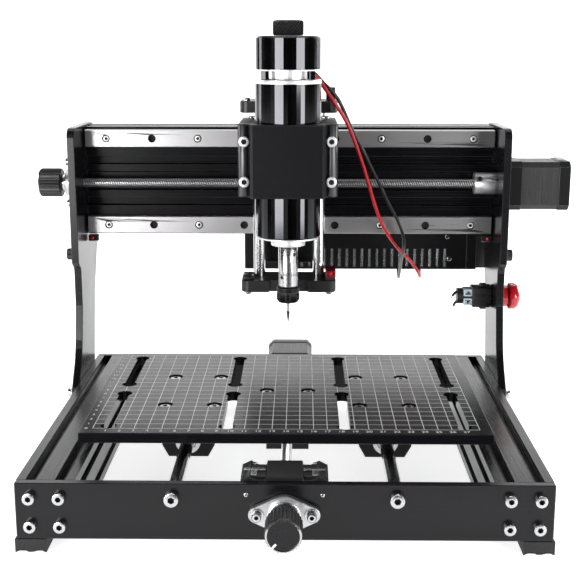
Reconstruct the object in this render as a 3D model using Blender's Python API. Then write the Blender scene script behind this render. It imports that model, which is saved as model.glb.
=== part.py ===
"""Desktop CNC router: a moving bed, a gantry with two linear rails, and a spindle on a vertical slide.

Everything is laid out in millimetres in the machine's own frame: X to the right, Y from the front
face of the front plate towards the back, Z up from the underside of the frame. The finished model is
in metres, standing on Z = 0 and centred on its footprint.
"""
import math

import bmesh
import bpy
from mathutils import Vector

MM = 0.001
GAP = 0.3                      # clearance left between pieces that touch

# ---- driving dimensions, in millimetres -------------------------------------------------------
FRAME_W = 360.0                # over the two base beams
FRAME_L = 312.0                # over the front and rear plates
PLATE_T = 6.0                  # front and rear plates
BEAM = 40.0                    # side of a base beam
FOOT_H = 10.0

BED_W, BED_L, BED_T = 298.0, 206.5, 7.7
BED_FRONT, BED_TOP = 60.3, 53.2
SLOT_W, SLOT_END = 8.0, 12.0   # bed slots, and the round ends that let a bolt head in
SLOT_COLUMNS = (-129.5, -43.0, 43.0, 129.5)

SHAFT_X, SHAFT_Z, SHAFT_R = 75.0, 30.0, 5.0
SCREW_R, SCREW_BORE = 4.0, 4.5
Y_SCREW_Z = 20.0

SIDE_T = 6.3                   # upright side plates
GANTRY_Y, GANTRY_D = 287.6, 40.0
GANTRY_Z, GANTRY_H = 159.0, 95.0
GANTRY_MID = GANTRY_Z + GANTRY_H / 2
RAIL_T, RAIL_DZ = 10.0, 38.0
X_SCREW_Y, X_SCREW_Z = 278.0, 206.0

MOTOR = 42.3                   # side of a stepping motor
X_MOTOR_L, Y_MOTOR_L, Z_MOTOR_L = 55.0, 51.0, 40.0
COUPLING_R, COUPLING_L = 9.5, 25.0
KNOB_R, KNOB_L = 12.5, 20.0

SPINDLE_Y, SPINDLE_R = 190.0, 26.0
SPINDLE_Z0, SPINDLE_Z1 = 174.6, 298.0
ROTOR_R, ROTOR_BORE = 4.0, 4.5
ROD_X, ROD_Y, ROD_R = 25.3, 245.0, 5.0
CARRIAGE_HALF = 40.0           # half width of the plates that hold the rods
LOW_PLATE_Z = (120.0, 130.0)
HIGH_PLATE_Z = (270.0, 279.6)
BLOCK_Z = (208.0, 264.6)       # spindle clamp and the slide block behind it

STOP_Y, STOP_Z = 280.0, 104.5  # stop button on the right side plate
X_LEFT, X_RIGHT = -219.4, FRAME_W / 2 + SIDE_T + 2 * GAP + X_MOTOR_L
Y_FRONT, Y_BACK = -37.0, FRAME_L + GAP + Y_MOTOR_L

ORIGIN = Vector(((X_LEFT + X_RIGHT) / 2, (Y_FRONT + Y_BACK) / 2, -FOOT_H))


# ---- shared helpers ----------------------------------------------------------------------------
def world(x, y, z):
    """A machine point in millimetres as a model point in metres."""
    return (Vector((x, y, z)) - ORIGIN) * MM


AXES = {  # an outline's (a, b) and its run c, turned into machine X, Y, Z
    "X": lambda a, b, c: Vector((c, a, b)),
    "Y": lambda a, b, c: Vector((a, c, b)),
    "Z": lambda a, b, c: Vector((a, b, c)),
}


def empty(name, x, y, z, parent=None):
    """A joint's own frame: an empty on its axis."""
    obj = bpy.data.objects.new(name, None)
    obj.empty_display_size = 0.02
    bpy.context.collection.objects.link(obj)
    obj["at"] = world(x, y, z)
    set_parent(obj, parent)
    return obj


def set_parent(obj, parent):
    at = Vector(obj["at"])
    obj.parent = parent
    obj.location = at - Vector(parent["at"]) if parent else at
    return obj


def finish(name, bm, finish_of, parent, smooth=False):
    """Turn machine-frame geometry into a named object that hangs from its joint's empty."""
    bmesh.ops.remove_doubles(bm, verts=bm.verts, dist=1e-4)
    bmesh.ops.recalc_face_normals(bm, faces=bm.faces)
    at = Vector(parent["at"])
    for vert in bm.verts:
        vert.co = world(*vert.co) - at
    mesh = bpy.data.meshes.new(name)
    bm.to_mesh(mesh)
    bm.free()
    if smooth:
        mesh.shade_smooth()
        mesh.set_sharp_from_angle(angle=math.radians(35))
    mesh.materials.append(material(name, finish_of))
    obj = bpy.data.objects.new(name, mesh)
    bpy.context.collection.objects.link(obj)
    obj["at"] = at
    return set_parent(obj, parent)


FINISHES = {  # colour, metallic, roughness
    "black_anodised": ((0.012, 0.012, 0.014), 0.6, 0.38),
    "black_gloss": ((0.008, 0.008, 0.010), 0.3, 0.10),
    "black_plastic": ((0.014, 0.014, 0.015), 0.0, 0.45),
    "black_rubber": ((0.012, 0.012, 0.012), 0.0, 0.75),
    "steel": ((0.62, 0.62, 0.63), 1.0, 0.24),
    "zinc": ((0.52, 0.52, 0.53), 1.0, 0.42),
    "aluminium": ((0.70, 0.70, 0.71), 1.0, 0.30),
    "brass": ((0.72, 0.52, 0.22), 1.0, 0.30),
    "red_plastic": ((0.60, 0.015, 0.020), 0.0, 0.25),
    "red_wire": ((0.50, 0.020, 0.020), 0.0, 0.40),
    "black_wire": ((0.015, 0.015, 0.015), 0.0, 0.40),
}


def material(name, key):
    colour, metallic, roughness = FINISHES[key]
    mat = bpy.data.materials.new(name)
    mat.use_nodes = True
    shader = mat.node_tree.nodes["Principled BSDF"]
    shader.inputs["Base Color"].default_value = (*colour, 1.0)
    shader.inputs["Metallic"].default_value = metallic
    shader.inputs["Roughness"].default_value = roughness
    return mat


def prism_into(bm, axis, outline, start, end, chamfer=0.0):
    """Extrude a closed outline along an axis, with an optional chamfer round both ends."""
    place = AXES[axis]
    verts = [bm.verts.new(place(a, b, start)) for a, b in outline]
    face = bm.faces.new(verts)
    made = bmesh.ops.extrude_face_region(bm, geom=[face])["geom"]
    top = [item for item in made if isinstance(item, bmesh.types.BMVert)]
    bmesh.ops.translate(bm, verts=top, vec=place(0, 0, end - start))
    if chamfer:
        ends = [edge for edge in bm.edges if edge.is_valid and same_end(edge, axis, start, end)]
        bmesh.ops.bevel(bm, geom=ends, offset=chamfer, segments=1, affect="EDGES", profile=0.5)


def same_end(edge, axis, start, end):
    index = "XYZ".index(axis)
    low, high = (vert.co[index] for vert in edge.verts)
    return any(abs(low - at) < 1e-4 and abs(high - at) < 1e-4 for at in (start, end))


def prism(name, axis, outline, start, end, finish_of, parent, chamfer=0.0, smooth=False):
    bm = bmesh.new()
    prism_into(bm, axis, outline, start, end, chamfer)
    return finish(name, bm, finish_of, parent, smooth)


def box(name, x, y, z, finish_of, parent, bevel=0.6):
    """A block between two X, two Y and two Z values, with its edges broken."""
    bm = bmesh.new()
    prism_into(bm, "Z", rectangle(*x, *y), *z)
    if bevel:
        bmesh.ops.recalc_face_normals(bm, faces=bm.faces)
        bmesh.ops.bevel(bm, geom=bm.edges[:], offset=bevel, segments=1, affect="EDGES", profile=0.5)
    return finish(name, bm, finish_of, parent)


def turned(name, axis, centre, profile, finish_of, parent, sides=32, bored=False):
    """Spin a (radius, height) profile about an axis; a bored profile closes on itself as a ring."""
    bm = bmesh.new()
    place = AXES[axis]
    cx, cy = centre
    rings = []
    for radius, height in profile:
        if radius < 1e-6:
            rings.append([bm.verts.new(place(cx, cy, height))])
            continue
        angles = [2 * math.pi * k / sides for k in range(sides)]
        rings.append([bm.verts.new(place(cx + radius * math.cos(t), cy + radius * math.sin(t), height))
                      for t in angles])
    pairs = list(zip(rings, rings[1:] + ([rings[0]] if bored else [])))
    for low, high in pairs[:len(rings) if bored else len(rings) - 1]:
        for k in range(sides):
            n = (k + 1) % sides
            corners = [low[k % len(low)], low[n % len(low)], high[n % len(high)], high[k % len(high)]]
            bm.faces.new(list(dict.fromkeys(corners)))
    if not bored:
        for ring in (rings[0], rings[-1]):
            if len(ring) > 1:
                bm.faces.new(ring)
    return finish(name, bm, finish_of, parent, smooth=True)


def rod(name, axis, centre, radius, start, end, finish_of, parent, sides=24, edge=0.6):
    profile = [(radius - edge, start), (radius, start + edge), (radius, end - edge), (radius - edge, end)]
    return turned(name, axis, centre, profile, finish_of, parent, sides)


def sleeve(name, axis, centre, radius, bore, start, end, finish_of, parent, sides=32, edge=0.6):
    profile = [(bore, start), (radius - edge, start), (radius, start + edge),
               (radius, end - edge), (radius - edge, end), (bore, end)]
    return turned(name, axis, centre, profile, finish_of, parent, sides, bored=True)


def rectangle(a0, a1, b0, b1):
    return [(a0, b0), (a1, b0), (a1, b1), (a0, b1)]


def arc(cx, cy, radius, start, end, steps):
    """Points on an arc, its angles in degrees."""
    turn = [math.radians(start + (end - start) * k / steps) for k in range(steps + 1)]
    return [(cx + radius * math.cos(t), cy + radius * math.sin(t)) for t in turn]


def cut(obj, cutters):
    """Subtract hidden cutters from an object."""
    for cutter in cutters:
        joined(obj, cutter, "DIFFERENCE")
    return obj


def joined(obj, other, how):
    other.hide_render = True
    other.display_type = "WIRE"
    step = obj.modifiers.new(other.name, "BOOLEAN")
    step.operation = how
    step.solver = "EXACT"
    step.object = other
    return obj


def bore(name, axis, centre, radius, start, end, parent, sides=24):
    """A round cutter that runs past both faces of what it drills."""
    outline = arc(*centre, radius, 0, 360 - 360 / sides, sides - 1)
    return prism(name, axis, outline, start - 1, end + 1, "steel", parent)


# ---- extruded sections -------------------------------------------------------------------------
SLOT_MOUTH, SLOT_LIP, SLOT_WIDE, SLOT_DEEP = 3.8, 1.8, 5.6, 6.0


def slot_in(at, depth_sign, along_first, face):
    """One T-slot as outline points: centred at `at`, opening in the face at `face`."""
    steps = [(-SLOT_MOUTH, 0), (-SLOT_MOUTH, SLOT_LIP), (-SLOT_WIDE, SLOT_LIP), (-SLOT_WIDE, 3.0),
             (-2.9, SLOT_DEEP), (2.9, SLOT_DEEP), (SLOT_WIDE, 3.0), (SLOT_WIDE, SLOT_LIP),
             (SLOT_MOUTH, SLOT_LIP), (SLOT_MOUTH, 0)]
    points = [(at + a, face + depth_sign * d) for a, d in steps]
    return points if along_first else [(b, a) for a, b in points]


def slotted_section(a0, b0, width, height, bottom, right, top, left):
    """Outline of an extrusion with T-slots at the given places on its four faces."""
    points = [(a0, b0)]
    for at in bottom:
        points += slot_in(a0 + at, 1, True, b0)
    points.append((a0 + width, b0))
    for at in right:
        points += slot_in(b0 + at, -1, False, a0 + width)
    points.append((a0 + width, b0 + height))
    for at in reversed(top):
        points += reversed(slot_in(a0 + at, -1, True, b0 + height))
    points.append((a0, b0 + height))
    for at in reversed(left):
        points += reversed(slot_in(b0 + at, 1, False, a0))
    return points


# ---- base ------------------------------------------------------------------------------------------
def end_plates(base):
    """Front and rear plates, which the beams, shafts and screw all bolt to."""
    half = FRAME_W / 2
    for name, y0, hole in (("front_plate", 0.0, 7.0), ("rear_plate", FRAME_L - PLATE_T, 12.0)):
        plate = box(name, (-half, half), (y0, y0 + PLATE_T), (0, BEAM), "black_anodised", base, bevel=0.5)
        cut(plate, [bore(name + "_hole", "Y", (0, Y_SCREW_Z), hole, y0, y0 + PLATE_T, base)])


def base_beams(base):
    """Two extruded side beams between the plates, slotted on every face."""
    places = (10.0, 30.0)
    run = (PLATE_T + GAP, FRAME_L - PLATE_T - GAP)
    for name, a0 in (("base_beam_left", -FRAME_W / 2), ("base_beam_right", FRAME_W / 2 - BEAM)):
        outline = slotted_section(a0, 0, BEAM, BEAM, places, places, places, places)
        prism(name, "Y", outline, *run, "black_anodised", base)


def feet(base):
    """Moulded corner feet, each with its inner side sloped."""
    half = FRAME_W / 2 + 1.4
    for side, sign in (("left", -1), ("right", 1)):
        for end, y0 in (("front", 0.0), ("rear", FRAME_L - 26.0)):
            outline = [(sign * half, -GAP), (sign * half, 1.5 - FOOT_H), (sign * (half - 1.5), -FOOT_H),
                       (sign * (half - 20.0), -FOOT_H), (sign * (half - 26.0), -GAP)]
            prism(f"foot_{end}_{side}", "Y", outline, y0, y0 + 26.0, "black_rubber", base, chamfer=1.0)


def shafts(base):
    """Two ground shafts that the bed runs on."""
    for name, x in (("y_shaft_left", -SHAFT_X), ("y_shaft_right", SHAFT_X)):
        run = (PLATE_T + GAP, FRAME_L - PLATE_T - GAP)
        rod(name, "Y", (x, SHAFT_Z), SHAFT_R, *run, "steel", base)


def flange_bearing(name, axis, centre, face, outward, upright, base):
    """Two-bolt flange bearing: an oval flange and a round hub, bored for the screw."""
    cx, cy = centre
    reach, ear, hub = 18.3, 5.7, 13.5
    tilt = math.degrees(math.acos((hub - ear) / reach))
    outline = arc(0, 0, hub, tilt, 180 - tilt, 8) + arc(-reach, 0, ear, 180 - tilt, 180 + tilt, 8)
    outline += arc(0, 0, hub, 180 + tilt, 360 - tilt, 8) + arc(reach, 0, ear, -tilt, tilt, 8)
    turn = (lambda a, b: (cx - b, cy + a)) if upright else (lambda a, b: (cx + a, cy + b))
    near, far = sorted((face, face + outward * 5.0))
    body = prism(name, axis, [turn(a, b) for a, b in outline], near, far, "zinc", base, chamfer=0.5)
    low, high = sorted((face + outward * 1.0, face + outward * 8.5))
    hub_disc = rod(name + "_hub", axis, centre, 11.0, low, high, "zinc", base, sides=32)
    joined(body, hub_disc, "UNION")
    drill = bore(name + "_bore", axis, centre, SCREW_BORE, min(near, low), max(far, high), base)
    bolts = [bore(f"{name}_bolt_{k}", axis, turn(s * reach, 0), 2.6, near, far, base, sides=16)
             for k, s in enumerate((-1, 1))]
    return cut(body, [drill] + bolts)


def y_switch_block(base):
    """Moulded holder behind the front plate, open below for the screw to pass through."""
    outline = [(-29.5, 27.0), (-12.0, 27.0), (-12.0, 9.0), (-7.0, 9.0), (-7.0, 27.5), (7.0, 27.5),
               (7.0, 9.0), (12.0, 9.0), (12.0, 27.0), (29.5, 27.0), (29.5, 40.0), (23.5, 43.0),
               (18.0, 40.0), (13.0, 40.0), (12.0, 43.0), (-12.0, 43.0), (-13.0, 40.0),
               (-18.0, 40.0), (-23.5, 43.0), (-29.5, 40.0)]
    prism("y_switch_block", "Y", outline, PLATE_T + GAP, 36.0, "black_plastic", base, chamfer=0.6)


def side_plate_outline():
    """Side view of an upright in Y and Z: straight above, waisted, and flared out over the base."""
    front = [(220.0, 0.0), (219.0, 36.0)] + arc(184.0, 88.0, 60.0, -45, -8, 5)
    front += arc(255.5, 103.0, 7.0, 190, 180, 1) + [(248.5, 130.0)]
    front += arc(241.5, 131.0, 7.0, 0, 75, 4) + [(240.0, 141.0)]
    top = arc(248.0, 248.0, 8.0, 180, 90, 4) + arc(322.0, 248.0, 8.0, 90, 0, 4)
    back = [(330.0, 156.0), (327.0, 143.0), (308.0, 104.0), (298.0, 60.0), (294.0, 40.0), (294.0, 0.0)]
    return front + top + back


def side_plates(base):
    """Left and right uprights, drilled for the X screw."""
    half = FRAME_W / 2
    sides = (("side_plate_left", -half - GAP - SIDE_T, 7.0), ("side_plate_right", half + GAP, 12.0))
    for name, x0, hole in sides:
        plate = prism(name, "X", side_plate_outline(), x0, x0 + SIDE_T, "black_anodised", base, chamfer=0.5)
        cutters = [bore(name + "_hole", "X", (X_SCREW_Y, X_SCREW_Z), hole, x0, x0 + SIDE_T, base)]
        if hole > 10:
            cutters.append(bore(name + "_stop", "X", (STOP_Y, STOP_Z), 9.6, x0, x0 + SIDE_T, base))
        cut(plate, cutters)


def gantry(base):
    """The extruded cross beam with a slotted, recessed front, and its two rails."""
    half = FRAME_W / 2 - GAP
    front = (GANTRY_H / 2 - 18.3, GANTRY_H / 2 + 18.3)
    ends = (10.0, 30.0)
    section = slotted_section(GANTRY_Y, GANTRY_Z, GANTRY_D, GANTRY_H, ends, front, ends, front)
    middle = [(GANTRY_Y, GANTRY_MID + 8.5), (GANTRY_Y + 3.5, GANTRY_MID + 7.0),
              (GANTRY_Y + 3.5, GANTRY_MID - 7.0), (GANTRY_Y, GANTRY_MID - 8.5)]
    after = next(k for k, (a, b) in enumerate(section)
                 if a == GANTRY_Y and b < GANTRY_MID and k > len(section) // 2)
    section[after:after] = middle
    prism("gantry_beam", "X", section, -half, half, "black_anodised", base)
    for name, dz in (("rail_upper", RAIL_DZ), ("rail_lower", -RAIL_DZ)):
        z, back = GANTRY_MID + dz, GANTRY_Y - GAP
        y = GANTRY_Y - RAIL_T
        outline = [(back, z - 7.5), (back, z + 7.5), (y + 0.6, z + 7.5), (y, z + 6.9),
                   (y, z - 6.9), (y + 0.6, z - 7.5)]
        outline[2:2] = [(y + 6.0, z + 7.5), (y + 4.5, z + 6.2), (y + 3.0, z + 7.5)]
        outline += [(y + 3.0, z - 7.5), (y + 4.5, z - 6.2), (y + 6.0, z - 7.5)]
        prism(name, "X", outline, -half + 1.5, half - 1.5, "steel", base)


def motor(name, axis, centre, start, length, parent):
    """Stepping motor: a square body with its corners cut off."""
    cx, cy = centre
    h, c = MOTOR / 2, 4.5
    outline = [(cx - h, cy - h + c), (cx - h + c, cy - h), (cx + h - c, cy - h), (cx + h, cy - h + c),
               (cx + h, cy + h - c), (cx + h - c, cy + h), (cx - h + c, cy + h), (cx - h, cy + h - c)]
    return prism(name, axis, outline, start, start + length, "black_anodised", parent, chamfer=0.8)


def controller(base):
    """Electronics box behind the gantry beam, with ventilation slots low on its front face."""
    x, y, z = (-42.5, 174.5), (328.2, 360.0), (118.6, 214.0)
    body = box("controller_box", x, y, z, "black_anodised", base, bevel=0.8)
    pitch, count = 7.05, 20
    vents = bmesh.new()
    for k in range(count):
        centre = 11.0 + k * pitch
        prism_into(vents, "Z", rectangle(centre - 1.6, centre + 1.6, y[0] - 1, y[0] + 3.5), 120.5, 138.5)
    cut(body, [finish("controller_vents", vents, "steel", base)])


def stop_switch(base, button):
    """Stop switch on the right upright: its body passes through the plate and a red head pushes in."""
    inner = FRAME_W / 2 + GAP
    outer = inner + SIDE_T
    profile = [(0.0, 150.0), (7.0, 150.0), (7.0, 164.0), (9.0, 164.0), (9.0, outer + GAP),
               (11.0, outer + GAP), (11.0, outer + 3.3), (0.0, outer + 3.3)]
    turned("stop_switch_body", "X", (STOP_Y, STOP_Z), profile, "black_plastic", base, sides=24)
    head = outer + 8.0
    profile = [(0.0, head - 0.6), (5.0, head - 0.6), (5.0, head), (11.0, head), (12.0, head + 2.0),
               (12.0, head + 7.0), (10.4, head + 10.5), (6.0, head + 12.2), (0.0, head + 12.5)]
    turned("stop_button", "X", (STOP_Y, STOP_Z), profile, "red_plastic", button, sides=32)


def end_switches(base):
    """Small switches at the lower corners of the gantry that the carriage would press."""
    for name, x in (("x_switch_left", (-179.4, -170.5)), ("x_switch_right", (170.5, 179.4))):
        box(name, x, (279.0, 287.2), (148.0, 158.6), "black_plastic", base)


# ---- bed --------------------------------------------------------------------------------------------
def bed_plate(bed):
    half = BED_W / 2
    y = (BED_FRONT, BED_FRONT + BED_L)
    z = (BED_TOP - BED_T, BED_TOP)
    plate = box("bed_plate", (-half, half), y, z, "black_anodised", bed, bevel=0.5)
    middle = sum(y) / 2
    for k, x in enumerate(SLOT_COLUMNS):
        runs = (("front", middle - 87.7, middle - 12.0), ("back", middle + 12.0, middle + 87.7))
        for end, near, far in runs:
            r, m = SLOT_END / 2, SLOT_W / 2
            neck = math.degrees(math.asin(m / r))
            outline = arc(x, near, r, 90 + neck, 450 - neck, 12) + arc(x, far, r, neck - 90, 270 - neck, 12)
            cut(plate, [prism(f"slot_{end}_{k}", "Z", outline, z[0] - 1, z[1] + 1, "steel", bed)])
    screws = [(sx * x, yy) for x, yy in ((94, 197.0), (56, 197.0), (94, 124.5), (56, 124.5), (16.5, 161.0))
              for sx in (-1, 1)]
    bm = bmesh.new()
    for x, yy in screws:
        prism_into(bm, "Z", arc(x, yy, 6.0, 0, 340, 17), z[1] - 4.5, z[1] + 1)
    cut(plate, [finish("counterbores", bm, "steel", bed)])


def bearing_blocks(bed):
    """Four blocks under the bed, bored for the shafts."""
    for side, x in (("left", -SHAFT_X), ("right", SHAFT_X)):
        for end, y in (("front", 125.6), ("rear", 198.0)):
            name = f"bearing_block_{end}_{side}"
            z0, z1, w = 17.0, BED_TOP - BED_T - GAP, 20.0
            outline = [(x - w, z0 + 9), (x - w + 5, z0), (x + w - 5, z0), (x + w, z0 + 9),
                       (x + w, z1), (x - w, z1)]
            block = prism(name, "Y", outline, y - 17.5, y + 17.5, "black_anodised", bed, chamfer=0.6)
            cut(block, [bore(name + "_bore", "Y", (x, SHAFT_Z), SHAFT_R + 0.4, y - 17.5, y + 17.5, bed)])


def bed_nut(bed):
    """Bracket that carries the bed's nut on the lead screw."""
    z1 = BED_TOP - BED_T - GAP
    outline = [(-17, 8), (17, 8), (17, 34), (22, 38), (22, z1), (-22, z1), (-22, 38), (-17, 34)]
    bracket = prism("bed_nut", "Y", outline, 148.0, 176.0, "black_anodised", bed, chamfer=0.6)
    cut(bracket, [bore("bed_nut_bore", "Y", (0, Y_SCREW_Z), SCREW_BORE, 148.0, 176.0, bed)])


# ---- carriage on the gantry ---------------------------------------------------------------------------
def rod_plate(name, z, carriage):
    """Plate across the top or bottom of the vertical rods, with its front corners rounded."""
    half, y0, y1 = CARRIAGE_HALF, 222.0, 261.3
    outline = [(-half, y1), *arc(6 - half, y0 + 6, 6, 180, 270, 4), (-17, y0), (-15, y0 + 4), (15, y0 + 4),
               (17, y0), *arc(half - 6, y0 + 6, 6, 270, 360, 4), (half, y1)]
    plate = prism(name, "Z", outline, *z, "black_plastic", carriage, chamfer=0.6)
    cutters = [bore(name + "_screw", "Z", (0, ROD_Y), SCREW_BORE, *z, carriage)]
    cutters += [bore(f"{name}_rod_{k}", "Z", (s * ROD_X, ROD_Y), ROD_R + GAP, *z, carriage)
                for k, s in enumerate((-1, 1))]
    return cut(plate, cutters)


def carriage_parts(carriage):
    """Rail blocks, back plate and nut, and the rods that the spindle slides on."""
    for name, dz in (("rail_block_upper", RAIL_DZ), ("rail_block_lower", -RAIL_DZ)):
        z, front, inner = GANTRY_MID + dz, GANTRY_Y - 16.0, GANTRY_Y - RAIL_T - GAP
        outline = [(front, z - 16), (GANTRY_Y - 4.0, z - 16), (GANTRY_Y - 4.0, z - 8.1), (inner, z - 8.1),
                   (inner, z + 8.1), (GANTRY_Y - 4.0, z + 8.1), (GANTRY_Y - 4.0, z + 16), (front, z + 16)]
        prism(name, "X", outline, -21.0, 21.0, "steel", carriage, chamfer=0.6)
    plate_y = (GANTRY_Y - 16.0 - GAP - 9.6, GANTRY_Y - 16.0 - GAP)
    box("carriage_plate", (-22, 22), plate_y, (138.0, 268.0), "black_anodised", carriage)
    nut = box("x_nut", (-15, 15), (plate_y[1] + GAP, 284.0), (197.0, 215.0), "brass", carriage)
    cut(nut, [bore("x_nut_bore", "X", (X_SCREW_Y, X_SCREW_Z), SCREW_BORE, -15, 15, carriage)])
    rod_plate("z_plate_lower", LOW_PLATE_Z, carriage)
    rod_plate("z_plate_upper", HIGH_PLATE_Z, carriage)
    for name, sign in (("z_rod_left", -1), ("z_rod_right", 1)):
        run = (LOW_PLATE_Z[0] + 1, HIGH_PLATE_Z[1] - 1)
        rod(name, "Z", (sign * ROD_X, ROD_Y), ROD_R, *run, "steel", carriage)
    box("z_switch", (31.0, 39.8), (224.0, 246.0), (LOW_PLATE_Z[1] + GAP, 138.5), "red_plastic", carriage)
    motor("z_motor", "Z", (0, ROD_Y), HIGH_PLATE_Z[1] + GAP, Z_MOTOR_L, carriage)


# ---- spindle slide --------------------------------------------------------------------------------------
def slide_parts(slide):
    """Slide block on the rods, and the clamp that closes round the spindle."""
    split = SPINDLE_Y + 2.0
    grip = SPINDLE_R + GAP
    half, z = 39.0, BLOCK_Z
    open_angle = math.degrees(math.asin((split + GAP / 2 - SPINDLE_Y) / grip))
    mouth = arc(0, SPINDLE_Y, grip, open_angle, 180 - open_angle, 20)
    rear = [(half, split + GAP / 2), *mouth, (-half, split + GAP / 2), (-half, 252.0), (-34, 257.0),
            (34, 257.0), (half, 252.0)]
    block = prism("z_slide_block", "Z", rear, *z, "black_anodised", slide, chamfer=0.6)
    bores = [bore(f"slide_rod_{k}", "Z", (s * ROD_X, ROD_Y), ROD_R + 0.4, *z, slide)
             for k, s in enumerate((-1, 1))]
    cut(block, bores + [bore("slide_screw", "Z", (0, ROD_Y), SCREW_BORE, *z, slide)])
    front_angle = math.degrees(math.asin((split - GAP / 2 - SPINDLE_Y) / grip))
    hollow = arc(0, SPINDLE_Y, grip, 180 - front_angle, 360 + front_angle, 20)
    nose, flange = 159.5, 170.0
    front = [(-half, split - GAP / 2), *hollow, (half, split - GAP / 2), (half, flange + 4),
             (half - 4, flange), (31.5, flange), (29.0, flange - 2.5), (29.0, nose + 2.0), (27.0, nose),
             (-27.0, nose), (-29.0, nose + 2.0), (-29.0, flange - 2.5), (-31.5, flange),
             (4 - half, flange), (-half, flange + 4)]
    prism("spindle_clamp", "Z", front, *z, "black_anodised", slide, chamfer=0.6)


def spindle_parts(slide, rotor):
    """Spindle motor housing with its vented neck and cap, and the rotor that runs through it."""
    centre = (0, SPINDLE_Y)
    b, r = ROTOR_BORE, SPINDLE_R
    body = [(b, 166.7), (12.6, 166.7), (13.3, 167.4), (13.3, 171.6), (12.6, 172.2), (12.6, SPINDLE_Z0),
            (r - 1.0, SPINDLE_Z0), (r, SPINDLE_Z0 + 1.0), (r, SPINDLE_Z1), (b, SPINDLE_Z1)]
    turned("spindle_body", "Z", centre, body, "black_gloss", slide, sides=48, bored=True)
    neck = [(b, SPINDLE_Z1 + GAP), (17.5, SPINDLE_Z1 + GAP), (17.5, 304.7), (b, 304.7)]
    turned("spindle_vent_ring", "Z", centre, neck, "aluminium", slide, bored=True)
    cap = [(b, 305.0), (24.5, 305.0), (25.5, 306.0), (25.5, 329.5), (24.0, 331.0), (b, 331.0)]
    turned("spindle_cap", "Z", centre, cap, "black_gloss", slide, sides=48, bored=True)
    rod("spindle_shaft", "Z", centre, ROTOR_R, 151.0, 331.0, "steel", rotor)
    chuck = [(0, 132.7), (7.4, 132.7), (8.0, 133.3), (8.0, 165.6), (7.4, 166.2), (b, 166.2),
             (b, 150.6), (0, 150.6)]
    turned("collet_chuck", "Z", centre, chuck, "steel", rotor, sides=32)
    nut = [(2.2, 119.6), (7.6, 119.6), (9.5, 122.0), (9.5, 131.6), (8.8, 132.4), (2.2, 132.4)]
    turned("collet_nut", "Z", centre, nut, "black_anodised", rotor, sides=32, bored=True)
    bit = [(0, 101.0), (1.59, 111.0), (1.59, 132.3), (0, 132.3)]
    turned("cutter_bit", "Z", centre, bit, "steel", rotor, sides=12)
    knob = [(0, 331.3), (11.4, 331.3), (12.0, 331.9), (12.0, 342.2), (11.2, 343.0), (0, 343.0)]
    turned("spindle_hand_knob", "Z", centre, knob, "black_plastic", rotor, sides=32)


# ---- screws ---------------------------------------------------------------------------------------------
def hand_knob(name, axis, centre, start, end, parent):
    low, high = min(start, end), max(start, end)
    profile = [(0, low), (KNOB_R - 1, low), (KNOB_R, low + 1), (KNOB_R, high - 1),
               (KNOB_R - 1, high), (0, high)]
    return turned(name, axis, centre, profile, "black_plastic", parent, sides=32)


def y_drive(screw):
    centre = (0, Y_SCREW_Z)
    joint = 296.0
    rod("y_lead_screw", "Y", centre, SCREW_R, Y_FRONT + KNOB_L + GAP, joint - 12.0, "steel", screw)
    sleeve("y_coupling", "Y", centre, COUPLING_R, SCREW_BORE, joint - 12.5, joint + 12.5, "aluminium", screw)
    hand_knob("y_knob", "Y", centre, Y_FRONT, Y_FRONT + KNOB_L, screw)


def x_drive(screw):
    centre = (X_SCREW_Y, X_SCREW_Z)
    start = 161.5
    rod("x_lead_screw", "X", centre, SCREW_R, X_LEFT + KNOB_L + GAP, start + 12.0, "steel", screw)
    sleeve("x_coupling", "X", centre, COUPLING_R, SCREW_BORE, start, start + COUPLING_L, "aluminium", screw)
    hand_knob("x_knob", "X", centre, X_LEFT, X_LEFT + KNOB_L, screw)


def z_drive(screw):
    rod("z_lead_screw", "Z", (0, ROD_Y), SCREW_R, LOW_PLATE_Z[0] + 1, HIGH_PLATE_Z[1], "steel", screw)


# ---- wires ------------------------------------------------------------------------------------------------
WIRE_D = 3.0
RED_ROUTE = [(15.4, 202.8, 301.5), (22.0, 207.0, 299.5), (28.5, 206.5, 291.0), (38.0, 208.0, 277.5),
             (46.0, 213.0, 265.0), (52.5, 222.0, 251.0), (59.5, 232.0, 233.0), (66.0, 241.0, 214.0),
             (71.8, 249.0, 195.5), (79.2, 260.0, 175.5), (88.6, 273.0, 158.5), (100.0, 290.0, 143.0),
             (111.3, 305.0, 130.5), (119.5, 316.0, 117.5), (122.0, 329.0, 111.5), (122.3, 335.6, 114.0),
             (122.3, 336.0, 118.0)]
BLACK_ROUTE = [(12.6, 206.0, 302.5), (19.5, 212.5, 303.0), (28.0, 212.5, 294.5), (40.0, 215.0, 281.5),
               (51.0, 223.0, 258.5), (62.3, 233.0, 237.0), (74.0, 243.0, 214.5), (84.5, 252.0, 193.5),
               (94.0, 258.0, 176.0), (99.8, 264.5, 160.5), (101.0, 274.0, 148.0), (101.0, 291.0, 135.5),
               (101.5, 314.0, 119.0), (102.0, 327.0, 111.5), (102.0, 333.6, 114.0), (102.0, 334.0, 118.0)]


def smooth_route(points, step):
    """A smooth curve through the route's points, sampled about every `step` millimetres."""
    route = [Vector(p) for p in points]
    padded = [2 * route[0] - route[1]] + route + [2 * route[-1] - route[-2]]
    found = [route[0]]
    for p0, p1, p2, p3 in zip(padded, padded[1:], padded[2:], padded[3:]):
        count = max(1, round((p2 - p1).length / step))
        for k in range(1, count + 1):
            t = k / count
            found.append(0.5 * (2 * p1 + (p2 - p0) * t + (2 * p0 - 5 * p1 + 4 * p2 - p3) * t * t
                                + (3 * p1 - p0 - 3 * p2 + p3) * t ** 3))
    return found


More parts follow.
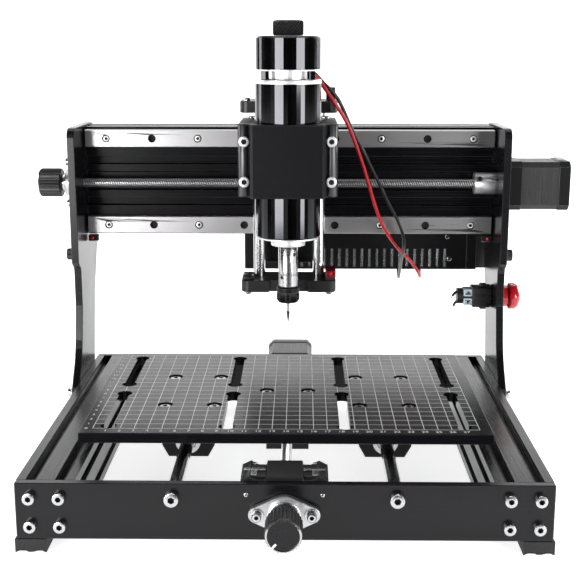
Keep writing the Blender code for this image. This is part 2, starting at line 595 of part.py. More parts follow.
def wire(name, points, key, base):
    curve = bpy.data.curves.new(name, "CURVE")
    curve.dimensions = "3D"
    curve.bevel_depth = WIRE_D / 2 * MM
    curve.bevel_resolution = 2
    curve.use_fill_caps = True
    run = smooth_route(points, 7.0)
    spline = curve.splines.new("POLY")
    spline.points.add(len(run) - 1)
    at = Vector(base["at"])
    for target, point in zip(spline.points, run):
        target.co = (*(world(*point) - at), 1.0)
    curve.materials.append(material(name, key))
    obj = bpy.data.objects.new(name, curve)
    bpy.context.collection.objects.link(obj)
    obj["at"] = at
    return set_parent(obj, base)


def main():
    for obj in list(bpy.data.objects):
        bpy.data.objects.remove(obj)
    base = empty("machine", 0, 0, 0)
    bed = empty("bed_slide", 0, BED_FRONT + BED_L / 2, BED_TOP, base)
    carriage = empty("x_carriage", 0, X_SCREW_Y, X_SCREW_Z, base)
    slide = empty("z_slide", 0, ROD_Y, sum(BLOCK_Z) / 2, carriage)
    rotor = empty("spindle_axis", 0, SPINDLE_Y, SPINDLE_Z0, slide)
    y_screw = empty("y_screw_axis", 0, FRAME_L / 2, Y_SCREW_Z, base)
    x_screw = empty("x_screw_axis", 0, X_SCREW_Y, X_SCREW_Z, base)
    z_screw = empty("z_screw_axis", 0, ROD_Y, sum(BLOCK_Z) / 2, carriage)
    button = empty("stop_button_axis", X_RIGHT, STOP_Y, STOP_Z, base)

    end_plates(base)
    base_beams(base)
    feet(base)
    shafts(base)
    flange_bearing("y_flange_bearing", "Y", (0, Y_SCREW_Z), -GAP, -1, False, base)
    left_face = -FRAME_W / 2 - GAP - SIDE_T - GAP
    flange_bearing("x_flange_bearing", "X", (X_SCREW_Y, X_SCREW_Z), left_face, -1, True, base)
    y_switch_block(base)
    side_plates(base)
    gantry(base)
    motor("y_motor", "Y", (0, Y_SCREW_Z), FRAME_L + GAP, Y_MOTOR_L, base)
    motor("x_motor", "X", (X_SCREW_Y, X_SCREW_Z), X_RIGHT - X_MOTOR_L, X_MOTOR_L, base)
    controller(base)
    stop_switch(base, button)
    end_switches(base)
    bed_plate(bed)
    bearing_blocks(bed)
    bed_nut(bed)
    carriage_parts(carriage)
    slide_parts(slide)
    spindle_parts(slide, rotor)
    y_drive(y_screw)
    x_drive(x_screw)
    z_drive(z_screw)
    wire("red_wire", RED_ROUTE, "red_wire", base)
    wire("black_wire", BLACK_ROUTE, "black_wire", base)


main()
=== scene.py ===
# %% [markdown]
# # A desktop CNC router
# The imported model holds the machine's structure: every beam, plate, rail and screw at its real size, on the
# body that it moves with. This lesson dresses it. It starts by loading that frame and by choosing a way to
# say where things are. A maker thinks in millimetres from the front plate, so a small function turns such a
# point into the frame's metres, and everything after it can be read like a drawing.

# %% Load the frame
import math

import bmesh
import bpy
from mathutils import Matrix, Vector


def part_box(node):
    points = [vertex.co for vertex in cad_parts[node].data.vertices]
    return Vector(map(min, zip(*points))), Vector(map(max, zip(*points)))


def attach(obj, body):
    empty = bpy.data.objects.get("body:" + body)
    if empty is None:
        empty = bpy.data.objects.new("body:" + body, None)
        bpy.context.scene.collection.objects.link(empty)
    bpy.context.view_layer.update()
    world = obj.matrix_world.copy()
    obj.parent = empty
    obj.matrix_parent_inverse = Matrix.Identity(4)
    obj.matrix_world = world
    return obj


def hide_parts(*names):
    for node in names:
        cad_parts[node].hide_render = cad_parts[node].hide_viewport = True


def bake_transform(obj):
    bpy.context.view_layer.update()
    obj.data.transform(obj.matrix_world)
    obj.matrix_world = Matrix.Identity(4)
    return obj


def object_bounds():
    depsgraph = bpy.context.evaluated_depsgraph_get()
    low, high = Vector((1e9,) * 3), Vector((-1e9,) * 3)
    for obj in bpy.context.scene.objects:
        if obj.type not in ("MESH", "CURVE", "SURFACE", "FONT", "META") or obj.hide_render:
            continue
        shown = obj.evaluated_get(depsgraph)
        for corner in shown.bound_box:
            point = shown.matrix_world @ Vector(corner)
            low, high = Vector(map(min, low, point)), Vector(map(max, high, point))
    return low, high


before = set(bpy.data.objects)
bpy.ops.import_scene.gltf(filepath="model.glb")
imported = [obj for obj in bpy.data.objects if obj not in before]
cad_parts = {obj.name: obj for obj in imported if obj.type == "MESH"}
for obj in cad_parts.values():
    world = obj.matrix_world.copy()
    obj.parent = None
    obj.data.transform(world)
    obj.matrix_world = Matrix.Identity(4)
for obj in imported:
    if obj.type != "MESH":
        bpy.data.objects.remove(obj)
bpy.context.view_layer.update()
MM = 0.001
plate_low, plate_high = (Vector(corner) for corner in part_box("front_plate"))
ORIGIN = Vector(((plate_low.x + plate_high.x) / 2, plate_low.y, plate_low.z))


def at(x, y, z):
    """A point in millimetres: X from the middle, Y back from the front plate, Z up from under the frame."""
    return ORIGIN + Vector((x, y, z)) * MM


def edges(node):
    """A node's box in the same millimetres: low and high corner."""
    return [(Vector(corner) - ORIGIN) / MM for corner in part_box(node)]


# %% [markdown]
# ## Camera
# The machine is seen from the front, a little above the bed, with a long lens so that its beams hardly
# converge. The camera comes first, because it decides what the cords and the fine detail have to look like.

# %% Camera
camera_data = bpy.data.cameras.new("camera")
camera_data.sensor_width = 36.0
camera_data.lens = 67.9
camera = bpy.data.objects.new("camera", camera_data)
camera.location = at(11.3, -677.9, 324.4)
camera.rotation_euler = (math.radians(90 - 12.585), math.radians(-0.04), math.radians(0.68))
bpy.context.scene.collection.objects.link(camera)
bpy.context.scene.camera = camera
bpy.context.view_layer.update()
print("camera", [round(v, 3) for v in camera.location])

# %% [markdown]
# ## Helpers for modelling by hand
# Each helper below is one habit of hand modelling: put nothing else in the selection, enter edit mode, pick
# faces by where they are, and leave again. A piece is shaped at the world's centre standing on its own
# axis, where sums are easy, and is then turned and moved to its place, with the move applied so that its
# object sits at the origin.

# %% Modelling helpers
ops = bpy.ops


def clear():
    if bpy.context.object and bpy.context.object.mode != "OBJECT":
        ops.object.mode_set(mode="OBJECT")
    ops.object.select_all(action="DESELECT")


def only(obj):
    clear()
    obj.select_set(True)
    bpy.context.view_layer.objects.active = obj
    return obj


def edit(obj):
    only(obj)
    ops.object.mode_set(mode="EDIT")


def pick(obj, test):
    """In edit mode, select just the faces whose centre and normal pass a test."""
    mesh = bmesh.from_edit_mesh(obj.data)
    ops.mesh.select_mode(type="FACE")
    ops.mesh.select_all(action="DESELECT")
    for face in mesh.faces:
        face.select_set(bool(test(face.calc_center_median(), face.normal)))
    bmesh.update_edit_mesh(obj.data)


def pick_parts(obj, kind, parts, test):
    """In edit mode, select just the edges or corners of a mesh that pass a test."""
    mesh = bmesh.from_edit_mesh(obj.data)
    ops.mesh.select_mode(type=kind)
    ops.mesh.select_all(action="DESELECT")
    for part in getattr(mesh, parts):
        part.select_set(bool(test(part)))
    bmesh.update_edit_mesh(obj.data)


def use(obj, kind, **settings):
    """Add a modifier and apply it."""
    only(obj)
    step = obj.modifiers.new(kind.lower(), kind)
    for key, value in settings.items():
        setattr(step, key, value)
    ops.object.modifier_apply(modifier=step.name)
    return obj


def cut(obj, cutter, how="DIFFERENCE"):
    use(obj, "BOOLEAN", operation=how, object=cutter, solver="EXACT")
    bpy.data.objects.remove(cutter)
    return obj


def named(name):
    bpy.context.object.name = name
    bpy.context.object.data.name = name
    return bpy.context.object


def settle():
    ops.object.transform_apply(location=True, rotation=True, scale=True)


def face_out():
    """Turn every face outward and leave edit mode."""
    ops.mesh.select_all(action="SELECT")
    ops.mesh.normals_make_consistent(inside=False)
    ops.object.mode_set(mode="OBJECT")


def cube(name, centre, size):
    """A box round a centre, both in metres."""
    clear()
    ops.mesh.primitive_cube_add(size=1, location=centre)
    obj = named(name)
    obj.scale = size
    settle()
    return obj


def drum(name, sides, radius, depth, height=0.0):
    """A cylinder on Z with its middle at a height."""
    clear()
    ops.mesh.primitive_cylinder_add(vertices=sides, radius=radius * MM, depth=depth * MM,
                                    location=(0, 0, height * MM))
    return named(name)


def block(name, x, y, z, bevel=0.0, segments=2):
    """A box between two X, two Y and two Z values in machine millimetres."""
    low, high = at(x[0], y[0], z[0]), at(x[1], y[1], z[1])
    obj = cube(name, (low + high) / 2, high - low)
    if bevel:
        use(obj, "BEVEL", width=bevel * MM, segments=segments, limit_method="ANGLE", angle_limit=0.6)
    return obj


def turned(name, profile, sides=32):
    """Build a turned piece as by hand: a disc, then an extrude and a scale for each step of (radius, height)."""
    clear()
    radius, height = profile[0]
    ops.mesh.primitive_circle_add(vertices=sides, radius=radius * MM, fill_type="NGON",
                                  location=(0, 0, height * MM))
    obj = named(name)
    settle()
    edit(obj)
    ops.mesh.select_all(action="SELECT")
    for new_radius, new_height in profile[1:]:
        ops.mesh.extrude_region_move(TRANSFORM_OT_translate={"value": (0, 0, (new_height - height) * MM)})
        scale = new_radius / radius
        if abs(scale - 1) > 1e-6:
            ops.transform.resize(value=(scale, scale, 1))
        radius, height = new_radius, new_height
    face_out()
    return obj


def pushed(obj, test, inset, push):
    """Inset the faces that pass a test, and push what is inside the new edge by a number of millimetres."""
    edit(obj)
    pick(obj, test)
    ops.mesh.inset(thickness=inset * MM)
    ops.mesh.extrude_region_move(TRANSFORM_OT_translate={"value": tuple(Vector(push) * MM)})
    ops.object.mode_set(mode="OBJECT")
    return obj


def rounded(obj, angle=30):
    only(obj)
    ops.object.shade_smooth_by_angle(angle=math.radians(angle))
    return obj


def moved(obj, point, axis="Z", turn=0.0):
    """Turn a piece that stands on +Z so that it points along an axis, move it, and apply both."""
    ways = {"X": (0, 1, 0, 90), "-X": (0, 1, 0, -90), "Y": (1, 0, 0, -90), "-Y": (1, 0, 0, 90),
            "-Z": (1, 0, 0, 180), "Z": (0, 0, 1, 0)}
    *about, angle = ways[axis]
    spin = Matrix.Rotation(math.radians(turn), 4, "Z")
    obj.data.transform(Matrix.Translation(point) @ Matrix.Rotation(math.radians(angle), 4, about) @ spin)
    obj.data.update()
    return obj


def copy_of(obj, name):
    twin = obj.copy()
    twin.data = obj.data.copy()
    twin.name = twin.data.name = name
    bpy.context.scene.collection.objects.link(twin)
    return twin


def joined(name, parts):
    clear()
    for part in parts:
        part.select_set(True)
    bpy.context.view_layer.objects.active = parts[0]
    if len(parts) > 1:
        ops.object.join()
    return named(name)


def surface(obj, *finishes):
    """Give a piece its materials. Its faces take the first until they are told otherwise."""
    obj.data.materials.clear()
    for finish_used in finishes:
        obj.data.materials.append(finish_used)
    return obj


def fit(obj, body, finish_used, slot=None, replaces=()):
    """Give a finished piece its material and its body, and hide the nodes that it stands for."""
    if finish_used is not None:
        surface(obj, finish_used)
    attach(obj, body)
    if replaces:
        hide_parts(*replaces)
    return obj


def stand(obj, angle, point, axis, *fitting):
    """Smooth a turned piece, stand it at a point along an axis, and fit it."""
    return fit(moved(rounded(obj, angle), at(*point), axis), *fitting)


print("helpers ready")

# %% [markdown]
# ## Floor and light
# A machine like this is shown on a white sweep between soft lamps. Black metal shows only what it reflects,
# so every lamp here is placed where a surface should mirror it: two tall panels draw the two broad bands on
# the round spindle, two side strips draw its thin edge lines, and a low panel at the left makes that half
# of the rails bright. A dark card at the right, which only reflections can see, does the opposite for the
# other half. The floor glows a little, so that it stays white underneath the machine too.

# %% Stage
SWEEP = 4.0
floor_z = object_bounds()[0][2]
clear()
ops.mesh.primitive_plane_add(size=1, location=(0, 0, floor_z))
floor = named("floor")
floor.scale = (9.0, 7.0, 1)
ops.object.transform_apply(location=False, rotation=False, scale=True)
edit(floor)
pick_parts(floor, "EDGE", "edges", lambda edge: all(v.co.y > 3.0 for v in edge.verts))
for k in range(1, 9):
    turn = math.pi / 16
    middle = (k - 0.5) * turn
    step = 2 * 1.5 * math.sin(turn / 2)
    move = (0, step * math.cos(middle), step * math.sin(middle))
    ops.mesh.extrude_region_move(TRANSFORM_OT_translate={"value": move})
ops.mesh.extrude_region_move(TRANSFORM_OT_translate={"value": (0, 0, SWEEP)})
ops.object.mode_set(mode="OBJECT")
rounded(floor, 60)
paper = bpy.data.materials.new("white_paper")
paper.use_nodes = True
paper_shader = paper.node_tree.nodes["Principled BSDF"]
paper_shader.inputs["Base Color"].default_value = (0.86, 0.86, 0.865, 1)
paper_shader.inputs["Roughness"].default_value = 0.9
paper_shader.inputs["Specular IOR Level"].default_value = 0.1
paper_shader.inputs["Emission Color"].default_value = (1, 1, 1, 1)
paper_shader.inputs["Emission Strength"].default_value = 0.78
floor.data.materials.append(paper)


def panel(name, place, aim, size, glow):
    """An area lamp of a given brightness, whatever its size: its power is brightness times area times pi."""
    light = bpy.data.lights.new(name, "AREA")
    light.shape = "RECTANGLE"
    light.size, light.size_y = size
    light.energy = glow * math.pi * size[0] * size[1]
    obj = bpy.data.objects.new(name, light)
    obj.location = place
    obj.rotation_euler = (Vector(aim) - Vector(place)).to_track_quat("-Z", "Y").to_euler()
    bpy.context.scene.collection.objects.link(obj)
    return obj


spindle_axis = at(0, 190, 0)


def around(degrees, distance, z):
    """A place at a bearing from the spindle: 0 is towards the camera, positive to the right."""
    turn = math.radians(degrees)
    return spindle_axis + Vector((distance * math.sin(turn), -distance * math.cos(turn), z))


TARGET = spindle_axis + Vector((0, 0, 0.25))
panel("left_panel", around(-35, 1.15, 0.20), TARGET, (0.58, 0.44), 13.0)
panel("right_panel", around(45, 1.15, 0.20), TARGET, (0.58, 0.44), 12.0)
panel("left_strip", around(-109, 1.3, 0.3), TARGET, (0.22, 0.8), 9.0)
panel("right_strip", around(121, 1.3, 0.3), TARGET, (0.22, 0.8), 14.0)
panel("low_left_panel", at(-300, -640, 110), at(-200, 280, 200), (0.44, 0.24), 0.5)
panel("top_lamp", (0, 0.35, 1.7), (0, 0, 0.1), (1.6, 1.0), 1.6)
panel("back_lamp", (0, 1.6, 2.4), (0, 3.4, 0.6), (3.0, 1.0), 12.0)

card_finish = bpy.data.materials.new("dark_card")
card_finish.use_nodes = True
card_finish.node_tree.nodes["Principled BSDF"].inputs["Base Color"].default_value = (0.02, 0.02, 0.02, 1)
card_finish.node_tree.nodes["Principled BSDF"].inputs["Roughness"].default_value = 0.9


def dark_card(name, centre, width, height, tilt):
    """A black card that only reflections can see. It casts no shadow."""
    clear()
    ops.mesh.primitive_plane_add(size=1, location=centre)
    card = named(name)
    card.scale = (width, height, 1)
    card.rotation_euler = (math.radians(tilt), 0, 0)
    settle()
    card.data.materials.append(card_finish)
    card.visible_camera = card.visible_shadow = False


dark_card("upright_card", at(400, -630, 125), 0.74, 0.26, 90)
dark_card("floor_card", at(0, -1780, -8), 5.0, 3.24, 0)

world = bpy.data.worlds.new("studio")
bpy.context.scene.world = world
world.use_nodes = True
backdrop = world.node_tree.nodes["Background"]
backdrop.inputs["Color"].default_value = (1, 1, 1, 1)
seen = world.node_tree.nodes.new("ShaderNodeLightPath")
level = world.node_tree.nodes.new("ShaderNodeMapRange")
level.inputs["To Min"].default_value = 0.04
level.inputs["To Max"].default_value = 1.0
world.node_tree.links.new(seen.outputs["Is Camera Ray"], level.inputs["Value"])
world.node_tree.links.new(level.outputs["Result"], backdrop.inputs["Strength"])
bpy.context.scene.view_settings.view_transform = "Standard"
print("floor at", round(floor_z, 4))

# %% [markdown]
# ## Surface effects shared by every finish
# Real machine parts are never one flat colour. Four effects do most of the work, so each is a node group
# that is built once: a fine grain for moulded and powder coated skins, long brushed lines for drawn and
# ground metal, a large soft smudge for handling, and a painted highlight on sharp edges, whose mask finds
# the edges by comparing a rounded normal with the true one. Each group gives out a mask or a normal, and
# every material sets its own amounts.

# %% Node groups
def group(name, inputs, outputs):
    tree = bpy.data.node_groups.new(name, "ShaderNodeTree")
    for label, kind, value in inputs:
        socket = tree.interface.new_socket(label, in_out="INPUT", socket_type=kind)
        socket.default_value = value
    for label, kind in outputs:
        tree.interface.new_socket(label, in_out="OUTPUT", socket_type=kind)
    return tree, tree.nodes.new("NodeGroupInput"), tree.nodes.new("NodeGroupOutput")


def add(tree, kind, **values):
    """A node with its settings, and with plain values on its input sockets."""
    node = tree.nodes.new("ShaderNode" + kind)
    for key, value in values.items():
        if hasattr(node, key):
            setattr(node, key, value)
        else:
            node.inputs[int(key[1:]) if key[1:].isdigit() else key.replace("_", " ")].default_value = value
    return node


def noise_group(name, stretched, detail):
    """Noise on Object coordinates, given out as a value and as a bump normal."""
    tree, given, out = group(name, [("Scale", "NodeSocketVector" if stretched else "NodeSocketFloat",
                                     (1, 1, 1) if stretched else 400.0), ("Height", "NodeSocketFloat", 0.2)],
                             [("Value", "NodeSocketFloat"), ("Normal", "NodeSocketVector")])
    link = tree.links.new
    place = add(tree, "TexCoord")
    noise = add(tree, "TexNoise", Detail=detail, Roughness=0.6)
    if stretched:
        scaled = add(tree, "VectorMath", operation="MULTIPLY")
        link(place.outputs["Object"], scaled.inputs[0])
        link(given.outputs["Scale"], scaled.inputs[1])
        link(scaled.outputs[0], noise.inputs["Vector"])
        noise.inputs["Scale"].default_value = 1.0
    else:
        link(place.outputs["Object"], noise.inputs["Vector"])
        link(given.outputs["Scale"], noise.inputs["Scale"])
    bump = add(tree, "Bump", Distance=0.0004)
    link(given.outputs["Height"], bump.inputs["Strength"])
    link(noise.outputs["Fac"], bump.inputs["Height"])
    link(noise.outputs["Fac"], out.inputs["Value"])
    link(bump.outputs["Normal"], out.inputs["Normal"])
    return tree


# The mask of sharp edges, where each finish paints its edge colour as a painted highlight.
def edge_group():
    tree, given, out = group("worn_edge", [("Radius", "NodeSocketFloat", 0.0006)],
                             [("Mask", "NodeSocketFloat")])
    link = tree.links.new
    bevel = add(tree, "Bevel", samples=4)
    link(given.outputs["Radius"], bevel.inputs["Radius"])
    true_normal = add(tree, "NewGeometry")
    dot = add(tree, "VectorMath", operation="DOT_PRODUCT")
    link(bevel.outputs["Normal"], dot.inputs[0])
    link(true_normal.outputs["Normal"], dot.inputs[1])
    spread = add(tree, "MapRange", From_Min=0.995, From_Max=0.90, To_Min=0.0, To_Max=1.0)
    link(dot.outputs["Value"], spread.inputs["Value"])
    link(spread.outputs["Result"], out.inputs["Mask"])
    return tree


FINE_GRAIN = noise_group("fine_grain", stretched=False, detail=3.0)
BRUSHED = noise_group("brushed_lines", stretched=True, detail=5.0)
SMUDGE = noise_group("soft_smudge", stretched=False, detail=2.0)
PAINTED_EDGE_HIGHLIGHT = edge_group()
print("groups", [g.name for g in bpy.data.node_groups])

# %% [markdown]
# ## Finishes
# Each finish is a short recipe: a base colour, how metallic and how rough it is, which texture breaks it
# up, and what colour is painted along its sharp edges: a painted highlight, lighter than the face, on all
# but the turned steel. Black anodising is a dyed oxide skin, so it isn't metallic: it is nearly black face
# on and turns silvery at a glancing angle, which is just what the inner faces of the uprights show.

# %% Finish recipe
def finish(name, colour, metallic, rough, grain=None, scale=400.0, height=0.1, swing=0.06, edge=None,
           edge_radius=0.0005, smudge=0.0, **sockets):
    """rough is the middle roughness, swing how far the texture moves it, edge the colour painted along sharp
    edges.
    """
    material = bpy.data.materials.new(name)
    material.use_nodes = True
    tree = material.node_tree
    link = tree.links.new
    shader = tree.nodes["Principled BSDF"]
    shader.inputs["Base Color"].default_value = (*colour, 1)
    shader.inputs["Metallic"].default_value = metallic
    shader.inputs["Roughness"].default_value = rough
    for label, value in sockets.items():
        shader.inputs[label.replace("_", " ")].default_value = value
    values = []
    if grain:
        texture = add(tree, "Group", node_tree=grain)
        texture.inputs["Scale"].default_value = scale
        texture.inputs["Height"].default_value = height
        link(texture.outputs["Normal"], shader.inputs["Normal"])
        values.append((texture.outputs["Value"], swing))
    if smudge:
        cloud = add(tree, "Group", node_tree=SMUDGE)
        cloud.inputs["Scale"].default_value = 14.0
        values.append((cloud.outputs["Value"], smudge))
    level = None
    for value, amount in values:
        step = add(tree, "MapRange", From_Min=0.3, From_Max=0.7, To_Min=-amount, To_Max=amount)
        link(value, step.inputs["Value"])
        total = add(tree, "Math", operation="ADD", _1=rough)
        link(step.outputs["Result"], total.inputs[0])
        if level:
            link(level, total.inputs[1])
        level = total.outputs[0]
    if level:
        link(level, shader.inputs["Roughness"])
    # Painted highlight: the edge colour is mixed into the base colour along sharp edges.
    if edge:
        edge_highlight = add(tree, "Group", node_tree=PAINTED_EDGE_HIGHLIGHT)
        edge_highlight.inputs["Radius"].default_value = edge_radius
        mix = add(tree, "Mix", data_type="RGBA")
        mix.inputs["A"].default_value = (*colour, 1)
        mix.inputs["B"].default_value = (*edge, 1)
        link(edge_highlight.outputs["Mask"], mix.inputs["Factor"])
        link(mix.outputs["Result"], shader.inputs["Base Color"])
    return material


OXIDE = (0.004, 0.004, 0.005)
ANODISED = finish("black_anodised", OXIDE, 0.0, 0.24, BRUSHED, (30, 900, 900), 0.04, 0.03,
                  edge=(0.035, 0.035, 0.037), smudge=0.03, Specular_IOR_Level=0.30)
BEAM_BLACK = finish("anodised_extrusion", OXIDE, 0.0, 0.26, BRUSHED, (1400, 12, 1400), 0.08, 0.06,
                    edge=(0.16, 0.16, 0.17), smudge=0.04, Specular_IOR_Level=0.30)
GANTRY_BLACK = finish("anodised_gantry", OXIDE, 0.0, 0.26, BRUSHED, (12, 1400, 1400), 0.08, 0.06,
                      edge=(0.05, 0.05, 0.053), smudge=0.02, Specular_IOR_Level=0.13)
POWDER = finish("black_powder_coat", OXIDE, 0.0, 0.36, FINE_GRAIN, 900.0, 0.35, 0.05,
                edge=(0.05, 0.05, 0.053), Specular_IOR_Level=0.22)
GLOSS = finish("polished_black_anodised", (0.042, 0.042, 0.045), 1.0, 0.11, FINE_GRAIN, 60.0, 0.004, 0.02)
PLASTIC = finish("black_plastic", (0.006, 0.006, 0.0065), 0.0, 0.40, FINE_GRAIN, 1300.0, 0.18, 0.06,
                 edge=(0.06, 0.06, 0.06))
# Black rubber for the feet and bearing seals; the same dark finish is painted shade inside holes and key holes.
RUBBER_AND_PAINTED_SHADE = finish("black_rubber", (0.006, 0.006, 0.006), 0.0, 0.72, FINE_GRAIN, 700.0, 0.4, 0.08)
STEEL = finish("polished_steel", (0.66, 0.66, 0.67), 1.0, 0.14, BRUSHED, (900, 12, 12), 0.05, 0.05)
RAIL_STEEL = finish("ground_rail_steel", (0.55, 0.54, 0.55), 1.0, 0.30, BRUSHED, (14, 1500, 1500), 0.003, 0.02,
                    edge=(0.75, 0.75, 0.75), smudge=0.02)
THREAD_STEEL = finish("rolled_thread_steel", (0.88, 0.87, 0.88), 1.0, 0.32, FINE_GRAIN, 300.0, 0.01, 0.03)
SCREW_STEEL = finish("bright_screw_steel", (0.56, 0.56, 0.57), 1.0, 0.25, FINE_GRAIN, 600.0, 0.05, 0.06)
ZINC = finish("cast_zinc", (0.62, 0.62, 0.63), 1.0, 0.38, FINE_GRAIN, 350.0, 0.55, 0.10,
              edge=(0.85, 0.85, 0.86))
ALUMINIUM = finish("bare_aluminium", (0.80, 0.80, 0.81), 1.0, 0.24, BRUSHED, (1200, 30, 30), 0.06, 0.06)
SATIN = finish("satin_aluminium", (0.86, 0.86, 0.87), 1.0, 0.46, FINE_GRAIN, 500.0, 0.05, 0.06)
# Its edge colour is darker than the steel, so the edge mask paints its sharp edges darker.
BRUSHED_STEEL = finish("turned_steel", (0.48, 0.47, 0.48), 1.0, 0.24, BRUSHED, (40, 40, 1600), 0.04, 0.05,
                       edge=(0.25, 0.25, 0.25))
BAR_BLACK = finish("drawn_black_bar", (0.11, 0.11, 0.115), 1.0, 0.40, BRUSHED, (900, 900, 20), 0.04, 0.05)
BRASS = finish("brass", (0.72, 0.52, 0.22), 1.0, 0.28, FINE_GRAIN, 300.0, 0.05, 0.06)
RED = finish("red_plastic", (0.52, 0.008, 0.016), 0.0, 0.20, FINE_GRAIN, 80.0, 0.02, 0.04, Coat_Weight=0.6,
             Coat_Roughness=0.08)
DARK_RED = finish("smoked_red_plastic", (0.16, 0.004, 0.010), 0.0, 0.16, FINE_GRAIN, 80.0, 0.02, 0.04,
                  Coat_Weight=0.6, Coat_Roughness=0.08)
RED_WIRE = finish("red_insulation", (0.50, 0.012, 0.018), 0.0, 0.30, FINE_GRAIN, 240.0, 0.05, 0.06)
BLACK_WIRE = finish("black_insulation", (0.006, 0.006, 0.006), 0.0, 0.32, FINE_GRAIN, 240.0, 0.05, 0.06)
PAINT = finish("white_paint", (0.80, 0.80, 0.80), 0.0, 0.5, FINE_GRAIN, 900.0, 0.05, 0.05)
PALE_PLASTIC = finish("pale_blue_plastic", (0.50, 0.62, 0.68), 0.0, 0.35, FINE_GRAIN, 500.0, 0.1, 0.06)
MOTOR_BLACK = finish("motor_black", (0.004, 0.004, 0.0045), 0.0, 0.34, FINE_GRAIN, 800.0, 0.2, 0.06,
                     edge=(0.14, 0.14, 0.145), Specular_IOR_Level=0.20)
# The motor's laminations; the same dark finish is painted shade in the lead screws' thread roots.
STACK_BLACK_AND_PAINTED_SHADE = finish("motor_laminations", (0.008, 0.008, 0.009), 0.1, 0.42, BRUSHED, (2400, 8, 8), 0.5, 0.08)
print("finishes", len(bpy.data.materials))

# %% [markdown]
# ## The printed bed
# The bed is black anodised with a white grid printed each 10 mm. The lines could be thin strips of
# geometry, but they are ink with no thickness, so they are drawn in the material: a point's distance to the
# nearest grid line is found on each axis, and what lies within a quarter of a millimetre is painted, inside
# the printed area and on the top face only.

# %% Bed material
bed_low, bed_high = edges("bed_plate")
GRID_X = (-140.0, 140.0)
GRID_Y = (bed_low.y + 10.0, bed_low.y + 200.0)
INK_WIDTH = 0.46


def bed_finish():
    material = ANODISED.copy()
    material.name = "printed_bed"
    tree = material.node_tree
    link = tree.links.new
    shader = tree.nodes["Principled BSDF"]
    shader.inputs["Specular IOR Level"].default_value = 0.17
    place = add(tree, "TexCoord")
    split = add(tree, "SeparateXYZ")
    link(place.outputs["Object"], split.inputs[0])
    made = add(tree, "NewGeometry")
    facing = add(tree, "SeparateXYZ")
    link(made.outputs["Normal"], facing.inputs[0])
    up = add(tree, "Math", operation="GREATER_THAN", _1=0.9)
    link(facing.outputs["Z"], up.inputs[0])

    def chain(start, *steps):
        for operation, *numbers in steps:
            node = add(tree, "Math", operation=operation)
            link(start, node.inputs[0])
            for k, number in enumerate(numbers):
                if isinstance(number, float):
                    node.inputs[k + 1].default_value = number
                else:
                    link(number, node.inputs[k + 1])
            start = node.outputs[0]
        return start

    def axis_parts(socket, zero, span):
        start = chain(socket, ("SUBTRACT", zero))
        near = chain(start, ("PINGPONG", 5.0 * MM), ("LESS_THAN", INK_WIDTH / 2 * MM))
        inside_low = chain(start, ("GREATER_THAN", -INK_WIDTH / 2 * MM))
        inside_high = chain(start, ("LESS_THAN", (span + INK_WIDTH / 2) * MM))
        return near, chain(inside_low, ("MULTIPLY", inside_high))

    lines_x, within_x = axis_parts(split.outputs["X"], at(GRID_X[0], 0, 0).x, GRID_X[1] - GRID_X[0])
    lines_y, within_y = axis_parts(split.outputs["Y"], at(0, GRID_Y[0], 0).y, GRID_Y[1] - GRID_Y[0])
    half = chain(lines_x, ("MAXIMUM", lines_y))
    ink = chain(half, ("MULTIPLY", within_x), ("MULTIPLY", within_y), ("MULTIPLY", up.outputs[0]))
    mix = add(tree, "Mix", data_type="RGBA")
    mix.inputs["B"].default_value = (0.86, 0.86, 0.86, 1)
    before = shader.inputs["Base Color"].links[0].from_socket
    link(before, mix.inputs["A"])
    link(ink, mix.inputs["Factor"])
    link(mix.outputs["Result"], shader.inputs["Base Color"])
    return material


PRINTED_BED = bed_finish()
print("printed grid", GRID_X, "by", GRID_Y)

# %% [markdown]
# ## Dress the frame's own nodes
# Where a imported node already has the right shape, it only needs its finish. They are listed by finish, so
# that it is easy to see what each part is made of.

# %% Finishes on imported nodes
DRESSED = {
    ANODISED: ("front_plate", "rear_plate", "side_plate_left", "side_plate_right", "carriage_plate", "bed_nut"),
    BEAM_BLACK: ("base_beam_left", "base_beam_right"),
    GANTRY_BLACK: ("gantry_beam",),
    PRINTED_BED: ("bed_plate",),
    POWDER: ("z_slide_block", "spindle_clamp", "controller_box"),
    PLASTIC: ("y_switch_block", "z_plate_upper", "z_plate_lower", "stop_switch_body"),
    STEEL: ("y_shaft_left", "y_shaft_right", "z_rod_left", "z_rod_right", "spindle_shaft", "rail_block_upper",
            "rail_block_lower"),
    ZINC: ("y_flange_bearing", "x_flange_bearing"),
    ALUMINIUM: ("y_coupling", "x_coupling"),
    SATIN: ("spindle_vent_ring",),
    BRASS: ("x_nut",),
    GLOSS: ("spindle_body", "spindle_cap"),
    MOTOR_BLACK: ("bearing_block_front_left", "bearing_block_front_right", "bearing_block_rear_left",
                  "bearing_block_rear_right"),
}
for finish_used, nodes in DRESSED.items():
    for node_name in nodes:
        surface(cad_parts[node_name], finish_used)
print("dressed", sum(len(nodes) for nodes in DRESSED.values()), "nodes")
